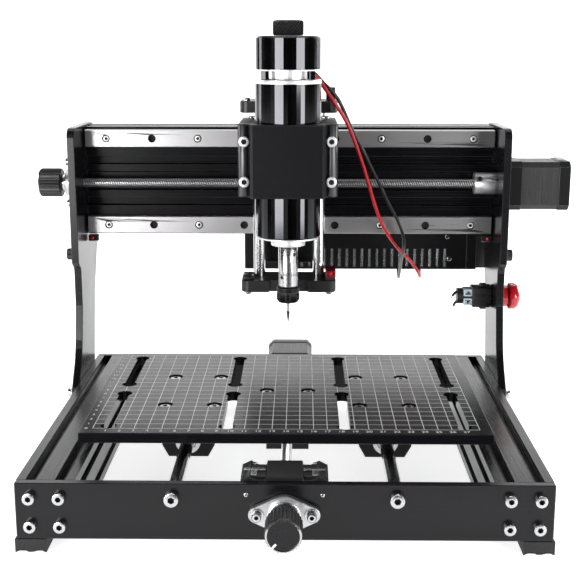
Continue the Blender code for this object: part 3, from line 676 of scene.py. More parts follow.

# %% [markdown]
# ## The spindle's two wires
# A red and a black wire leave the back of the spindle, arch over the slide block and drop behind the beam
# into the controller. They cross two joints, up and down and side to side, so each is built as two tubes
# that meet where the wire is clipped to the carriage: the short one runs from the slide to the carriage,
# the long one from the carriage to the frame. The clip holds the wire off the slide block at the end of the
# travel. Each route is the imported wire's own, drawn through its points with a Catmull-Rom curve.

# %% Wires
WIRE_D = 3.0
ROUTES = {
    "red": [(15.4, 202.8, 301.5), (22.0, 207.0, 299.5), (28.5, 206.5, 291.0), (38.0, 208.0, 277.5),
            (46.0, 213.0, 265.0), (52.5, 222.0, 251.0), (59.5, 232.0, 233.0), (66.0, 241.0, 214.0),
            (71.8, 249.0, 195.5), (79.2, 260.0, 175.5), (88.6, 273.0, 158.5), (100.0, 290.0, 143.0),
            (111.3, 305.0, 130.5), (119.5, 316.0, 117.5), (122.0, 329.0, 111.5), (122.3, 335.6, 114.0),
            (122.3, 336.0, 118.0)],
    "black": [(12.6, 206.0, 302.5), (19.5, 212.5, 303.0), (28.0, 212.5, 294.5), (40.0, 215.0, 281.5),
              (51.0, 223.0, 258.5), (62.3, 233.0, 237.0), (74.0, 243.0, 214.5), (84.5, 252.0, 193.5),
              (94.0, 258.0, 176.0), (99.8, 264.5, 160.5), (101.0, 274.0, 148.0), (101.0, 291.0, 135.5),
              (101.5, 314.0, 119.0), (102.0, 327.0, 111.5), (102.0, 333.6, 114.0), (102.0, 334.0, 118.0)],
}
CLIP = 4


def catmull(points, steps):
    """Points on a smooth curve through a list of points, steps to each span."""
    padded = [points[0] * 2 - points[1], *points, points[-1] * 2 - points[-2]]
    out = []
    for a, b, c, d in zip(padded, padded[1:], padded[2:], padded[3:]):
        for k in range(steps):
            t = k / steps
            out.append(0.5 * (2 * b + (c - a) * t + (2 * a - 5 * b + 4 * c - d) * t * t
                              + (3 * b - a - 3 * c + d) * t * t * t))
    return out + [points[-1]]


def tube(name, path, radius, sides=12):
    """Sweep a ring along a path, as a bevelled curve turned into a mesh with its ends filled."""
    curve = bpy.data.curves.new(name, "CURVE")
    curve.dimensions = "3D"
    curve.bevel_depth = radius * MM
    curve.bevel_resolution = sides // 4
    curve.use_fill_caps = True
    spline = curve.splines.new("POLY")
    spline.points.add(len(path) - 1)
    for point, place in zip(spline.points, path):
        point.co = (*place, 1)
    clear()
    obj = bpy.data.objects.new(name, curve)
    bpy.context.scene.collection.objects.link(obj)
    only(obj)
    ops.object.convert(target="MESH")
    obj = named(name)
    ops.object.shade_smooth_by_angle(angle=math.radians(40))
    return obj


def length_of(path):
    return sum((b - a).length for a, b in zip(path, path[1:]))


for colour, insulation in (("red", RED_WIRE), ("black", BLACK_WIRE)):
    line = catmull([at(*p) for p in ROUTES[colour]], 3)
    halves = (("upper", line[:CLIP * 3 + 1], "z_slide", "x_carriage", 1),
              ("lower", line[CLIP * 3:], "x_carriage", "base", 6))
    for half, path, near, far, stiff_end in halves:
        wire = tube(f"{colour}_wire_{half}", path, WIRE_D / 2)
        wire.data.materials.append(insulation)
        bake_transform(wire)
        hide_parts(f"{colour}_wire")
    print(colour, "wire", round(length_of(line), 4), "m")

# %% [markdown]
# ## Screws
# The machine is held by dozens of socket screws, and they catch more light than anything else on it. One
# head is modelled for each size: a turned cap with a rounded rim, and a six sided key hole cut into it. It
# is then copied to every place, and the copies that sit on one body are joined, so that they are handled as
# one piece.

# %% Screw heads
SIDES = (-1, 1)
REAR_FACE = 312.0
TURN_STEP = 37


def cap_head(radius, height, washer=0.0, key=0.5):
    """A socket cap screw that stands on +Z, its seat at zero, with an optional washer under it."""
    rim, seat, profile = 0.14 * radius, 0.0, [(radius, -0.2)]
    if washer:
        seat = 1.0
        profile = [(washer - 0.1, -0.2), (washer, 0.0), (washer, 0.8), (washer - 0.2, seat), (radius, seat)]
    profile += [(radius, seat + height - rim), (radius - 0.3 * rim, seat + height - 0.3 * rim),
                (radius - rim, seat + height)]
    head = turned("head", profile, 24)
    return rounded(cut(head, drum("key", 6, radius * key, height * 1.2, seat + height)), 35)


def button_head(radius, height, key=0.45):
    """A low domed head with a key hole."""
    dome = [(radius * math.cos(t), height * (0.25 + 0.75 * math.sin(t))) for t in (0.2, 0.5, 0.8, 1.1)]
    head = turned("head", [(radius, -0.2), (radius, height * 0.25), *dome], 24)
    return rounded(cut(head, drum("key", 6, radius * key, height * 1.3, height)), 40)


def set_out(name, model, places, axis, body="base", finish_used=SCREW_STEEL, slot="polished_steel", keep=False):
    """Copy a model to many places on one body and join the copies. The key holes are painted dark inside, as
    painted shade.
    """
    surface(model, finish_used, RUBBER_AND_PAINTED_SHADE)
    reach, top = max(v.co.x for v in model.data.vertices), max(v.co.z for v in model.data.vertices)
    # Painted shade: faces deep in the key hole take the dark rubber finish.
    for face in model.data.polygons:
        deep = face.center.z < top - 0.05 * MM
        face.material_index = int(deep and math.hypot(face.center.x, face.center.y) < 0.62 * reach)
    copies = [moved(copy_of(model, f"{name}_{k}"), at(*place), axis, turn=TURN_STEP * k)
              for k, place in enumerate(places)]
    if not keep:
        bpy.data.objects.remove(model)
    return fit(joined(name, copies), body, None, slot)


CORNER_SCREWS = [(side * x, z) for side in SIDES for x in (150.0, 170.0) for z in (10.0, 30.0)]
SHAFT_X = 75.0
SHAFT_SCREWS = [(side * SHAFT_X, 30.0) for side in SIDES]
for label, model, spots in (("corner", cap_head(4.2, 4.6), CORNER_SCREWS),
                            ("shaft", cap_head(5.0, 5.0), SHAFT_SCREWS)):
    set_out(f"front_{label}_screws", model, [(x, 0.0, z) for x, z in spots], "-Y", keep=True)
    set_out(f"rear_{label}_screws", model, [(x, REAR_FACE, z) for x, z in spots], "Y")
set_out("switch_holder_screws", button_head(1.5, 0.7), [(side * 25.5, 0.0, 32.5) for side in SIDES], "-Y")
print("plate screws", len(CORNER_SCREWS) * 2 + len(SHAFT_SCREWS) * 2 + 2)

# %% [markdown]
# ## Flange bearings
# Each screw is held by a cast two-bolt bearing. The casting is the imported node; what it lacks is the
# pressed-in bearing, which shows as a raised ring with a dark seal inside it, and the two bolts with their
# washers.

# %% Bearing rings and bolts
BEARING_REACH = 18.3
Y_SCREW_Z = 20.0
X_SCREW = (278.0, 206.0)

# Outer race, dark seal and inner race, as one turned ring with a stepped face.
ring_model = rounded(turned("ring", [(10.6, -0.6), (11.3, 0.0), (11.3, 0.5), (10.7, 0.9), (8.6, 0.9),
                                     (8.0, 0.1), (6.4, 0.1), (6.1, 0.7), (4.6, 0.7), (4.2, 0.2)], 48), 40)
surface(ring_model, SCREW_STEEL, RUBBER_AND_PAINTED_SHADE)
for face in ring_model.data.polygons:
    distance = math.hypot(face.center.x, face.center.y) / MM
    face.material_index = int(6.3 < distance < 8.3 and abs(face.normal.z) > 0.5)
washer_bolt = cap_head(3.3, 3.4, washer=4.9)
for label, axis, centre, bolts in (
        ("y", "-Y", (0, -8.5, Y_SCREW_Z), [(side * BEARING_REACH, -5.0, Y_SCREW_Z) for side in SIDES]),
        ("x", "-X", (-195.1, *X_SCREW), [(-191.6, X_SCREW[0], X_SCREW[1] + side * BEARING_REACH)
                                         for side in SIDES])):
    fit(moved(copy_of(ring_model, f"{label}_bearing_ring"), at(*centre), axis), "base", None, "polished_steel")
    set_out(f"{label}_bearing_bolts", washer_bolt, bolts, axis, keep=True)
for model in (ring_model, washer_bolt):
    bpy.data.objects.remove(model)
print("x flange", edges("x_flange_bearing"), "y flange", edges("y_flange_bearing"))

# %% [markdown]
# ## Hand knobs
# The knobs are turned bars with straight knurling. A disc with twice as many corners as ribs is extruded
# along the profile, and every other corner of the grip is then pulled in a little, which gives sharp ribs
# without any sculpting. The face gets a polished chamfer, a dished centre and a white pointer line.

# %% Knobs
def knurled(name, profile, ribs, grip, depth=0.94, diamond=False):
    """A turned piece whose corners between two heights are pulled in by turns."""
    obj = turned(name, profile, 2 * ribs)
    reach = max(radius for radius, _ in profile)
    levels = sorted({round(height, 3) for _, height in profile})

    def pulled(vertex):
        x, y, height = vertex.co / MM
        if math.hypot(x, y) < 0.93 * reach or not grip[0] - 0.01 <= height <= grip[1] + 0.01:
            return False
        step = round(math.atan2(y, x) / math.pi * ribs)
        if diamond:
            step += min(range(len(levels)), key=lambda k: abs(levels[k] - height))
        return step % 2 == 1

    edit(obj)
    pick_parts(obj, "VERT", "verts", pulled)
    ops.transform.resize(value=(depth, depth, 1), center_override=(0, 0, 0))
    ops.object.mode_set(mode="OBJECT")
    return obj


KNOB_FACE = finish("turned_knob_face", (0.012, 0.012, 0.013), 0.6, 0.30, FINE_GRAIN, 500.0, 0.08, 0.08)
low, high = edges("y_knob")
knob_r = (high.x - low.x) / 2
knob_l = high.y - low.y
print("knob radius", round(knob_r, 2), "length", round(knob_l, 2))
knob = knurled("knob", [(knob_r - 1.2, 0), (knob_r, 1.0), (knob_r, knob_l - 2.0), (knob_r - 0.7, knob_l - 1.2),
                        (knob_r - 1.9, knob_l), (knob_r - 2.6, knob_l - 0.4), (4.0, knob_l - 0.7),
                        (1.0, knob_l - 0.75)], 30, (1.0, knob_l - 2.0), 0.95)
surface(rounded(knob, 25), PLASTIC, SCREW_STEEL, KNOB_FACE)
for face in knob.data.polygons:
    height = face.center.z / MM
    radius = math.hypot(face.center.x, face.center.y) / MM
    if height > knob_l - 1.25 and radius > knob_r - 2.2:
        face.material_index = 1
    elif height > knob_l - 3.0 and radius < knob_r - 1.9:
        face.material_index = 2

x_knob_end = edges("x_knob")[1].x
for label, point, axis, turn in (("y", (0, high.y, Y_SCREW_Z), "-Y", 0),
                                 ("x", (x_knob_end, *X_SCREW), "-X", 40)):
    placed = moved(copy_of(knob, f"{label}_hand_knob"), at(*point), axis, turn)
    fit(placed, f"{label}_screw", None, "black_plastic", (f"{label}_knob",))
bpy.data.objects.remove(knob)

pointer = block("pointer", (-0.7, 0.7), (-0.5, 0.5), (-knob_r + 0.9, -knob_r + 5.4), 0.08, 1)
pointer.data.transform(Matrix.Translation(-ORIGIN))
pointer.data.transform(Matrix.Translation(at(0, -36.5, Y_SCREW_Z)) @ Matrix.Rotation(math.radians(42), 4, "Y"))
fit(pointer, "y_screw", PAINT, "bare_aluminium")

collar = rounded(turned("x_set_collar", [(7.0, 0), (7.4, 0.4), (7.4, 4.2), (7.0, 4.6)], 40), 35)
grub = drum("grub", 12, 1.3, 3)
grub.data.transform(Matrix.Translation((7.0 * MM, 0, 2.3 * MM)) @ Matrix.Rotation(math.radians(90), 4, "Y"))
cut(collar, grub)
fit(moved(collar, at(-199.2, *X_SCREW), "X"), "x_screw", SCREW_STEEL, "polished_steel")
print("x hand knob ends at", round(x_knob_end, 1))

# %% [markdown]
# ## Lead screws
# The screws have a trapezoidal thread with four starts and a lead of eight millimetres, so one turn moves
# the slide eight millimetres. A profile of four teeth is drawn point by point, the Screw modifier winds it
# along the axis, and two bisect cuts trim the ragged ends and close them.

# %% Threads
def thread(name, length, radius=4.0, lead=8.0, starts=4, steps=18):
    pitch, core = lead / starts, radius - 0.9
    clear()
    ops.mesh.primitive_circle_add(vertices=3, radius=MM)
    obj = named(name)
    edit(obj)
    ops.mesh.select_mode(type="VERT")
    ops.mesh.select_all(action="SELECT")
    ops.mesh.merge(type="CENTER")
    ops.transform.translate(value=(core * MM, 0, 0))
    tooth = ((0, 0.30), (0.9, 0.2), (0, 0.3), (-0.9, 0.2))
    for _ in range(starts):
        for out, up in tooth:
            ops.mesh.extrude_region_move(TRANSFORM_OT_translate={"value": (out * MM, 0, up * pitch * MM)})
    ops.object.mode_set(mode="OBJECT")
    turns = math.ceil(length / lead) + 1
    use(obj, "SCREW", axis="Z", angle=math.tau, screw_offset=lead * MM, iterations=turns, steps=steps,
        render_steps=steps, use_smooth_shade=False)
    edit(obj)
    ops.mesh.select_all(action="SELECT")
    ops.mesh.remove_doubles(threshold=1e-6)
    for height, normal in ((lead, (0, 0, -1)), (lead + length, (0, 0, 1))):
        ops.mesh.select_all(action="SELECT")
        ops.mesh.bisect(plane_co=(0, 0, height * MM), plane_no=normal, use_fill=True, clear_outer=True)
    face_out()
    obj.data.transform(Matrix.Translation((0, 0, -lead * MM)))
    return rounded(obj, 22)


ROOT_RADIUS = 3.2
for along, axis in enumerate("XYZ"):
    node = f"{axis.lower()}_lead_screw"
    low, high = edges(node)
    start = (low + high) / 2
    start[along] = low[along]
    screw = surface(thread(node.replace("lead", "threaded"), high[along] - low[along]), THREAD_STEEL,
                    STACK_BLACK_AND_PAINTED_SHADE)
    # Painted shade: the faces in the thread's roots take the dark lamination finish.
    for face in screw.data.polygons:
        face.material_index = int(math.hypot(face.center.x, face.center.y) < ROOT_RADIUS * MM)
    fit(moved(screw, at(*start), axis), f"{axis.lower()}_screw", None, "polished_steel", (node,))
    print(node, "length", round(high[along] - low[along], 1), "faces", len(screw.data.polygons))

# %% [markdown]
# ## Couplings
# A coupling joins each motor to its screw. It is bare turned aluminium, and a grub screw near each end
# clamps it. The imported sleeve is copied, merged and drilled where the grub screws sit, and a dark screw
# goes down each hole.

# %% Coupling grub screws
def drilled(node, name, holes, radius, depth):
    """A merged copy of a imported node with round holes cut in; holes are (point, axis it enters along)."""
    piece = copy_of(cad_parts[node], name)
    edit(piece)
    ops.mesh.select_all(action="SELECT")
    ops.mesh.remove_doubles(threshold=1e-6)
    ops.object.mode_set(mode="OBJECT")
    drills = [moved(drum("drill", 20, radius, 2 * depth), at(*point), axis) for point, axis in holes]
    return cut(piece, joined("drills", drills))


REACH = 9.5
for label, along in (("x", 0), ("y", 1)):
    node, name, body = f"{label}_coupling", f"{label}_shaft_coupling", f"{label}_screw"
    low, high = edges(node)
    stops = [4.5, high[along] - low[along] - 4.5]
    if label == "x":
        spots = [((low.x + s, X_SCREW[0] - REACH * 0.87, X_SCREW[1] + REACH * 0.5), "-Y") for s in stops]
    else:
        spots = [((0.0, low.y + s, Y_SCREW_Z + REACH), "Z") for s in stops]
    fit(rounded(drilled(node, name, spots, 2.1, 3.2), 35), body, SATIN, "bare_aluminium", (node,))
    grubs = []
    for k, (point, way) in enumerate(spots):
        inner = Vector(point) + (Vector((0, 1.6, 0)) if way == "-Y" else Vector((0, 0, -1.6)))
        grub = turned(f"grub_{k}", [(1.9, -1.5), (1.9, 0), (1.4, 0.3), (0.9, 0.1), (0.8, -0.8)], 16)
        grubs.append(moved(grub, at(*inner), way))
    fit(joined(f"{name}_grub_screws", grubs), body, MOTOR_BLACK, "black_plastic")
print("couplings drilled")

# %% [markdown]
# ## Rails
# The carriage runs on two ground steel rails with a row of counterbored holes. Every other hole holds the
# screw that fixes the rail, and the holes between are empty. The imported rails are copied, merged and
# drilled, and the inside of each hole is painted dark as shade, so that it stays dark from every angle.
# Each screw sits in its hole with a little room round it.

# %% Drilled rails
RAIL_PITCH = 40.0
RAIL_PLACES = [k * RAIL_PITCH for k in range(-4, 5)]
rail_screw = cap_head(2.7, 2.0, key=0.55)
for node in ("rail_upper", "rail_lower"):
    low, high = edges(node)
    z = (low.z + high.z) / 2
    spots = [((x, low.y, z), "Y") for x in RAIL_PLACES]
    rail = rounded(drilled(node, node.replace("rail", "ground_rail"), spots, 3.5, 4.2), 20)
    surface(rail, RAIL_STEEL, RUBBER_AND_PAINTED_SHADE)
    # Painted shade: the faces inside each hole take the dark rubber finish.
    for face in rail.data.polygons:
        centre = (face.center - ORIGIN) / MM
        near = min(abs(centre.x - x) for x in RAIL_PLACES)
        face.material_index = int(math.hypot(near, centre.z - z) < 3.7 and low.y + 0.3 < centre.y < high.y - 1)
    fit(rail, "base", None, "polished_steel", (node,))
    set_out(node + "_screws", rail_screw, [(x, low.y + 2.6, z) for x in RAIL_PLACES[::2]], "-Y", "base", SATIN,
            keep=True)
bpy.data.objects.remove(rail_screw)
print("rails drilled at", RAIL_PITCH, "mm")

# %% [markdown]
# ## Bed details
# Ten socket screws hold the bed to its bearings and sit deep in their counterbores. Along the front and
# left margins runs a scale in centimetres. Its figures are text objects, made into a mesh, laid flat and
# joined: a figure is a shape with clean curves, which a pattern of nodes can't draw. Round bushes close the
# ends of the shaft bearings.

# %% Bed screws, scale and bushes
bed_low, bed_high = edges("bed_plate")
BED_SCREWS = [(sx * x, y) for x, y in ((94, 197.0), (56, 197.0), (94, 124.5), (56, 124.5), (16.5, 161.0))
              for sx in SIDES]
set_out("bed_screws", cap_head(4.3, 3.6), [(x, y, bed_high.z - 4.5) for x, y in BED_SCREWS], "Z", "bed")


def figure(text, x, y, size):
    clear()
    ops.object.text_add(location=(0, 0, 0))
    obj = bpy.context.object
    obj.data.body = text
    obj.data.size = size * MM
    obj.data.align_x, obj.data.align_y = "CENTER", "CENTER"
    obj.data.extrude = 0.02 * MM
    obj.data.resolution_u = 3
    only(obj)
    ops.object.convert(target="MESH")
    obj.data.transform(Matrix.Translation(at(x, y, bed_high.z + 0.03)))
    return obj


figures = [figure(str(k), GRID_X[0] + 10 * k, GRID_Y[0] - 4.6, 5.0) for k in range(1, 28)]
figures += [figure(str(k), GRID_X[0] - 4.8, GRID_Y[0] + 10 * k, 4.6) for k in range(0, 20)]
fit(joined("bed_scale_figures", figures), "bed", PAINT, "bare_aluminium")

bushes = []
for label, side in (("left", -1), ("right", 1)):
    for y, axis in ((edges(f"bearing_block_front_{label}")[0].y, "-Y"),
                    (edges(f"bearing_block_rear_{label}")[1].y, "Y")):
        bush = turned("bush", [(9.6, 0), (9.6, 2.6), (9.0, 3.2), (6.6, 3.2), (6.2, 2.8), (6.2, 1.0)], 40)
        bushes.append(rounded(moved(bush, at(side * SHAFT_X, y, 30.0), axis), 35))
fit(joined("bearing_bushes", bushes), "bed", SCREW_STEEL, "polished_steel")
print("figures", len(figures), "bed screws", len(BED_SCREWS))

# %% [markdown]
# ## Stepping motors
# A stepping motor is two cast end caps with a stack of thin steel laminations between them, held by four
# long screws at the corners. It is built standing up, cap by cap, with the stack a little smaller than the
# caps, so that the joints show as steps, and a connector block on one side.

# %% Motors
def cut_square(name, half, corner_cut, low, high, bevel):
    """A square slab with its upright corners cut off, from a box whose four upright edges are bevelled."""
    obj = cube(name, (0, 0, (low + high) / 2 * MM), (2 * half * MM, 2 * half * MM, (high - low) * MM))
    edit(obj)
    pick_parts(obj, "EDGE", "edges", lambda edge: abs(edge.verts[0].co.z - edge.verts[1].co.z) > 1e-6)
    ops.mesh.bevel(offset=corner_cut * MM, segments=1, affect="EDGES")
    ops.object.mode_set(mode="OBJECT")
    return use(obj, "BEVEL", width=bevel * MM, segments=2, limit_method="ANGLE", angle_limit=0.9)


def stepper(name, length, front, rear, connector_turn):
    """A motor that stands on +Z, its mounting face at zero. Returns the caps, stack, screws and connector."""
    half, c = 21.0, 4.5
    caps = joined(f"{name}_caps", [cut_square("cap", half, c, 0, front, 0.7),
                                   cut_square("cap", half, c, length - rear, length, 0.7)])
    stack = cut_square(f"{name}_stack", half - 0.6, c - 0.3, front - 0.1, length - rear + 0.1, 0.2)
    screws = []
    for sx, sy in ((sx, sy) for sx in SIDES for sy in SIDES):
        head = turned("screw", [(2.9, -0.4), (2.9, 0.5), (2.5, 0.9)], 20)
        cut(head, cube("slot", (0, 0, 0.9 * MM), (5.4 * MM, 0.9 * MM, 0.9 * MM)))
        head.data.transform(Matrix.Translation((sx * 15.5 * MM, sy * 15.5 * MM, (length - 0.65) * MM)))
        screws.append(rounded(head, 35))
    plug = cube(f"{name}_connector", (half * MM, 0, (length - rear / 2 - 1) * MM),
                (3.0 * MM, 15.0 * MM, 6.0 * MM))
    pushed(plug, lambda centre, normal: normal.z > 0.9, 1.0, (0, 0, -3.0))
    plug.data.transform(Matrix.Rotation(math.radians(connector_turn), 4, "Z"))
    return {"caps": caps, "stack": stack, "screws": joined(f"{name}_screws", screws), "connector": plug}


def place_motor(name, length, front, rear, point, axis, body, node, connector_turn):
    parts = stepper(name, length, front, rear, connector_turn)
    looks = {"caps": (MOTOR_BLACK, "motor_black"), "stack": (STACK_BLACK_AND_PAINTED_SHADE, "motor_black"),
             "screws": (MOTOR_BLACK, "motor_black"), "connector": (PALE_PLASTIC, "black_plastic")}
    for kind, obj in parts.items():
        finish_used, slot = looks[kind]
        fit(moved(obj, at(*point), axis), body, finish_used, slot, (node,) if kind in ("caps", "stack") else ())


low, high = edges("x_motor")
place_motor("x_stepper", high.x - low.x - 0.9, 13.0, 10.0, (low.x, *X_SCREW), "X", "base", "x_motor", 180)
low, high = edges("y_motor")
place_motor("y_stepper", high.y - low.y - 0.9, 12.0, 10.0, (0.0, low.y, Y_SCREW_Z), "Y", "base", "y_motor", 90)
low, high = edges("z_motor")
place_motor("z_stepper", high.z - low.z - 0.9, 10.0, 9.0, (0.0, 245.0, low.z), "Z", "x_carriage", "z_motor", 90)
print("motors built")

# %% [markdown]
# ## Controller box
# The box is folded sheet with a lid that stops short of the right end, so a thin seam shows there. Low on
# its face, the fins of the heat sink stand in the row of vents, and catch more light than the box. The seam
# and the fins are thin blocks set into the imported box, and screws hold the lid. Sockets for the motor leads
# and the supply are on its back, and a sheet flange at its right end reaches behind the upright and hangs
# on the upright's rear edge.

# %% Fins, seam and screws
low, high = edges("controller_box")
FIN_PITCH, FIN_HALF = 7.05, 1.25
fin_places = [11.0 + FIN_PITCH * k for k in range(20)]
fins = [block("fin", (x - FIN_HALF, x + FIN_HALF), (low.y + 0.9, low.y + 3.4), (120.9, 138.1), 0.3)
        for x in fin_places]
fit(joined("controller_fins", fins), "base", ALUMINIUM, "bare_aluminium")
lid = block("controller_lid_lip", (164.6, 165.4), (low.y - 0.5, low.y + 1.0), (low.z + 0.6, high.z - 0.6), 0.15)
fit(lid, "base", MOTOR_BLACK, "motor_black")
front_screws = [(146.6, low.y, 150.0), (149.0, low.y, 129.0), (-20.0, low.y, 150.0)]
rear_screws = [(x, high.y, z) for x in (-36.0, 168.0) for z in (124.0, 208.0)]
set_out("controller_screws", button_head(2.4, 1.3), front_screws, "-Y")
set_out("controller_rear_screws", button_head(2.4, 1.3), rear_screws, "Y")
sockets = [pushed(block("socket", (x - 9, x + 9), (high.y - 0.6, high.y), (150.0, 162.0), 0.2),
                  lambda centre, normal: normal.y > 0.9, 1.2, (0, -0.4, 0)) for x in (-20.0, 15.0, 50.0, 85.0)]
fit(joined("controller_sockets", sockets), "base", PLASTIC, "black_plastic")

back = edges("side_plate_right")[1].y + 0.3
flange = block("controller_flange", (high.x - 1.0, 186.0), (back, back + 2.0), (low.z + 1.2, high.z), 0.4)
fit(flange, "base", PLASTIC, "black_plastic")
print("fins", len(fins), "sockets", len(sockets), "flange at y", round(back, 1))

# %% [markdown]
# ## Switch holder behind the front plate
# The moulded holder carries two small end switches. Each has a bright spring lever across its middle, and
# little screws hold it down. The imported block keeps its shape, and these pieces sit on its top and front
# edge.

# %% Holder details
low, high = edges("y_switch_block")
levers, cases = [], []
for side in SIDES:
    levers.append(block("lever", sorted((side * 13.0, side * 27.5)), (high.y - 18, high.y - 14),
                        (42.2, 43.0), 0.2))
    levers.append(block("lever_top", sorted((side * 18.6, side * 22.6)), (8.0, 16.0), (43.0, 43.6), 0.15))
    cases.append(block("case", sorted((side * 12.6, side * 28.4)), (10.0, 30.0), (39.9, 42.0), 0.4))
fit(joined("end_switch_levers", levers), "base", SCREW_STEEL, "polished_steel")
fit(joined("end_switch_cases", cases), "base", PLASTIC, "black_plastic")
set_out("holder_top_screws", button_head(1.7, 0.9), [(side * 21.0, 33.0, 41.6) for side in SIDES], "Z")
print("holder", low, high)

# %% [markdown]
# ## Carriage, slide and clamp
# The spindle clamp is pulled tight by four screws through its side flanges, and each flange carries a round
# drawn bar that the screws sit on. Above and below, the rod plates hold the ends of the bright rods, with a
# small screw near each side, and linear bearing rings show on the slide block where the rods pass through.

# %% Clamp screws and bearing rings
CLAMP_SCREWS = [(side * 33.8, 168.3, z) for side in SIDES for z in (220.3, 251.5)]
set_out("clamp_screws", cap_head(4.2, 3.0, key=0.55), CLAMP_SCREWS, "-Y", "z_slide", SATIN)
low, high = edges("z_slide_block")
rings, ribs = [], []
for side in SIDES:
    for z, axis in ((high.z, "Z"), (low.z, "-Z")):
        ring = turned("ring", [(8.6, -0.5), (8.6, 1.2), (8.1, 1.7), (6.2, 1.7), (5.9, 1.4), (5.9, 0.4)], 40)
        rings.append(rounded(moved(ring, at(side * 25.3, 245.0, z), axis), 35))
    rib = turned("rib", [(3.9, 0), (4.3, 0.6), (4.3, high.z - low.z - 1.8), (3.9, high.z - low.z - 1.2)], 40)
    ribs.append(rounded(moved(rib, at(side * 34.0, 172.4, low.z + 0.6), "Z"), 40))
fit(joined("slide_bearing_rings", rings), "z_slide", SCREW_STEEL, "polished_steel")
fit(joined("clamp_ribs", ribs), "z_slide", BAR_BLACK, "black_gloss")

for node, corner, axis in (("z_plate_lower", 0, "-Z"), ("z_plate_upper", 1, "Z")):
    z = edges(node)[corner].z
    set_out(node + "_screws", cap_head(2.6, 2.4), [(side * 34.2, 228.5, z) for side in SIDES], axis,
            "x_carriage")
print("clamp", edges("spindle_clamp"))

# %% [markdown]
# ## End switch on the lower rod plate
# The small red switch sits at the right end of the lower plate, on a dark base. A boss stands at the other
# end of the plate, and a second switch sits on the upper plate.

# %% Red end switch
low, high = edges("z_switch")
case = block("z_switch_case", (low.x, high.x), (low.y, high.y), (low.z + 2.2, high.z), 0.5, 3)
pushed(case, lambda centre, normal: normal.y < -0.9, 1.2, (0, 0.5, 0))
fit(case, "x_carriage", DARK_RED, "red_plastic", ("z_switch",))
foot = block("z_switch_base", (low.x + 0.4, high.x - 0.4), (low.y + 0.6, high.y - 0.4),
             (low.z, low.z + 2.3), 0.2)
fit(foot, "x_carriage", PLASTIC, "black_plastic")
plunger = turned("z_switch_plunger", [(1.9, 0), (1.9, 0.8), (1.5, 1.5), (0.7, 1.9)], 24)
stand(plunger, 50, ((low.x + high.x) / 2, low.y + 0.9, (low.z + high.z) / 2 + 1.4), "-Y", "x_carriage", RED,
      "red_plastic")

bump = block("lower_plate_boss", (-39.0, -30.0), (222.6, 236.0), (129.6, 134.5), 2.0, 4)
fit(rounded(bump, 40), "x_carriage", PLASTIC, "black_plastic")
clip = block("upper_plate_switch", (30.6, 38.0), (224.0, 240.0), (279.4, 290.5), 0.7, 3)
pushed(clip, lambda centre, normal: normal.y < -0.9, 1.0, (0, 0.6, 0))
fit(clip, "x_carriage", PLASTIC, "black_plastic")
print("switches fitted")

# %% [markdown]
# ## Spindle
# The spindle is a glossy enamelled motor. Between its body and its cap is a ring of cooling windows: short
# black posts stand round a bright core, with a thin bright ring at each end of the body. At the bottom a
# broad nose ring holds the lower bearing.

# %% Spindle rings and vents
CENTRE = (0.0, 190.0)
posts = []
for angle in (math.radians(turn) for turn in (52, 128, 232, 308)):
    post = block("post", (-3.4, 3.4), (-1.6, 1.6), (298.1, 305.2), 0.4)
    post.data.transform(Matrix.Translation(-at(0, 0, 0)))
    post.data.transform(Matrix.Rotation(angle, 4, "Z") @ Matrix.Translation((0, -22.6 * MM, 0)))
    post.data.transform(Matrix.Translation(at(*CENTRE, 0)))
    posts.append(post)
fit(joined("spindle_vent_posts", posts), "z_slide", GLOSS, "black_gloss")


def hollow_ring(name, outer, inner, low_z, high_z, bevel, sides=64):
    """A square-cut ring round the spindle: a disc is inset, its middle removed, and its wall extruded."""
    clear()
    ops.mesh.primitive_circle_add(vertices=sides, radius=outer * MM, fill_type="NGON",
                                  location=at(*CENTRE, low_z))
    obj = named(name)
    settle()
    edit(obj)
    ops.mesh.select_all(action="SELECT")
    ops.mesh.inset(thickness=(outer - inner) * MM)
    ops.mesh.delete(type="FACE")
    ops.mesh.select_all(action="SELECT")
    ops.mesh.extrude_region_move(TRANSFORM_OT_translate={"value": (0, 0, (high_z - low_z) * MM)})
    face_out()
    use(obj, "BEVEL", width=bevel * MM, segments=2, limit_method="ANGLE", angle_limit=0.6)
    return rounded(obj, 35)


bright_rings = [hollow_ring("spindle_top_ring", 26.1, 24.0, 294.8, 298.05, 0.25),
                hollow_ring("spindle_foot_ring", 25.6, 22.0, 173.4, 174.7, 0.2),
                hollow_ring("spindle_cap_ring", 25.2, 20.0, 304.75, 306.0, 0.2)]
fit(joined("spindle_bright_rings", bright_rings), "z_slide", SATIN, "bare_aluminium")
nose = hollow_ring("spindle_nose_ring", 13.7, 12.3, 166.9, 171.9, 0.4)
fit(nose, "z_slide", SATIN, "polished_steel")
print("spindle", edges("spindle_body"))

# %% [markdown]
# ## Chuck, nut, bit and hand knob
# These turn with the motor. The collet chuck is polished steel with a ring line and three small cross
# holes, and the nut below it is black with spanner slots. The bit is turned to a fine point. The hand knob
# on top has diamond knurling: every other corner is pulled in, with each row shifted by one.

# %% Rotor pieces
chuck = turned("collet_chuck_body", [(7.3, 0), (7.9, 0.5), (7.9, 9.6), (7.5, 9.9), (7.5, 10.6), (7.9, 10.9),
                                     (7.9, 32.2), (7.2, 33.2)], 48)
cutters = []
for height, turn in ((8.0, -40), (27.0, 40), (20.0, 150)):
    hole = drum("hole", 20, 1.5, 6)
    hole.data.transform(Matrix.Rotation(math.radians(turn), 4, "Z")
                        @ Matrix.Translation((0, -8.2 * MM, height * MM))
                        @ Matrix.Rotation(math.radians(90), 4, "X"))
    cutters.append(hole)
cut(chuck, joined("holes", cutters))
stand(chuck, 35, (*CENTRE, 132.9), "Z", "spindle_rotor", BRUSHED_STEEL, "polished_steel", ("collet_chuck",))

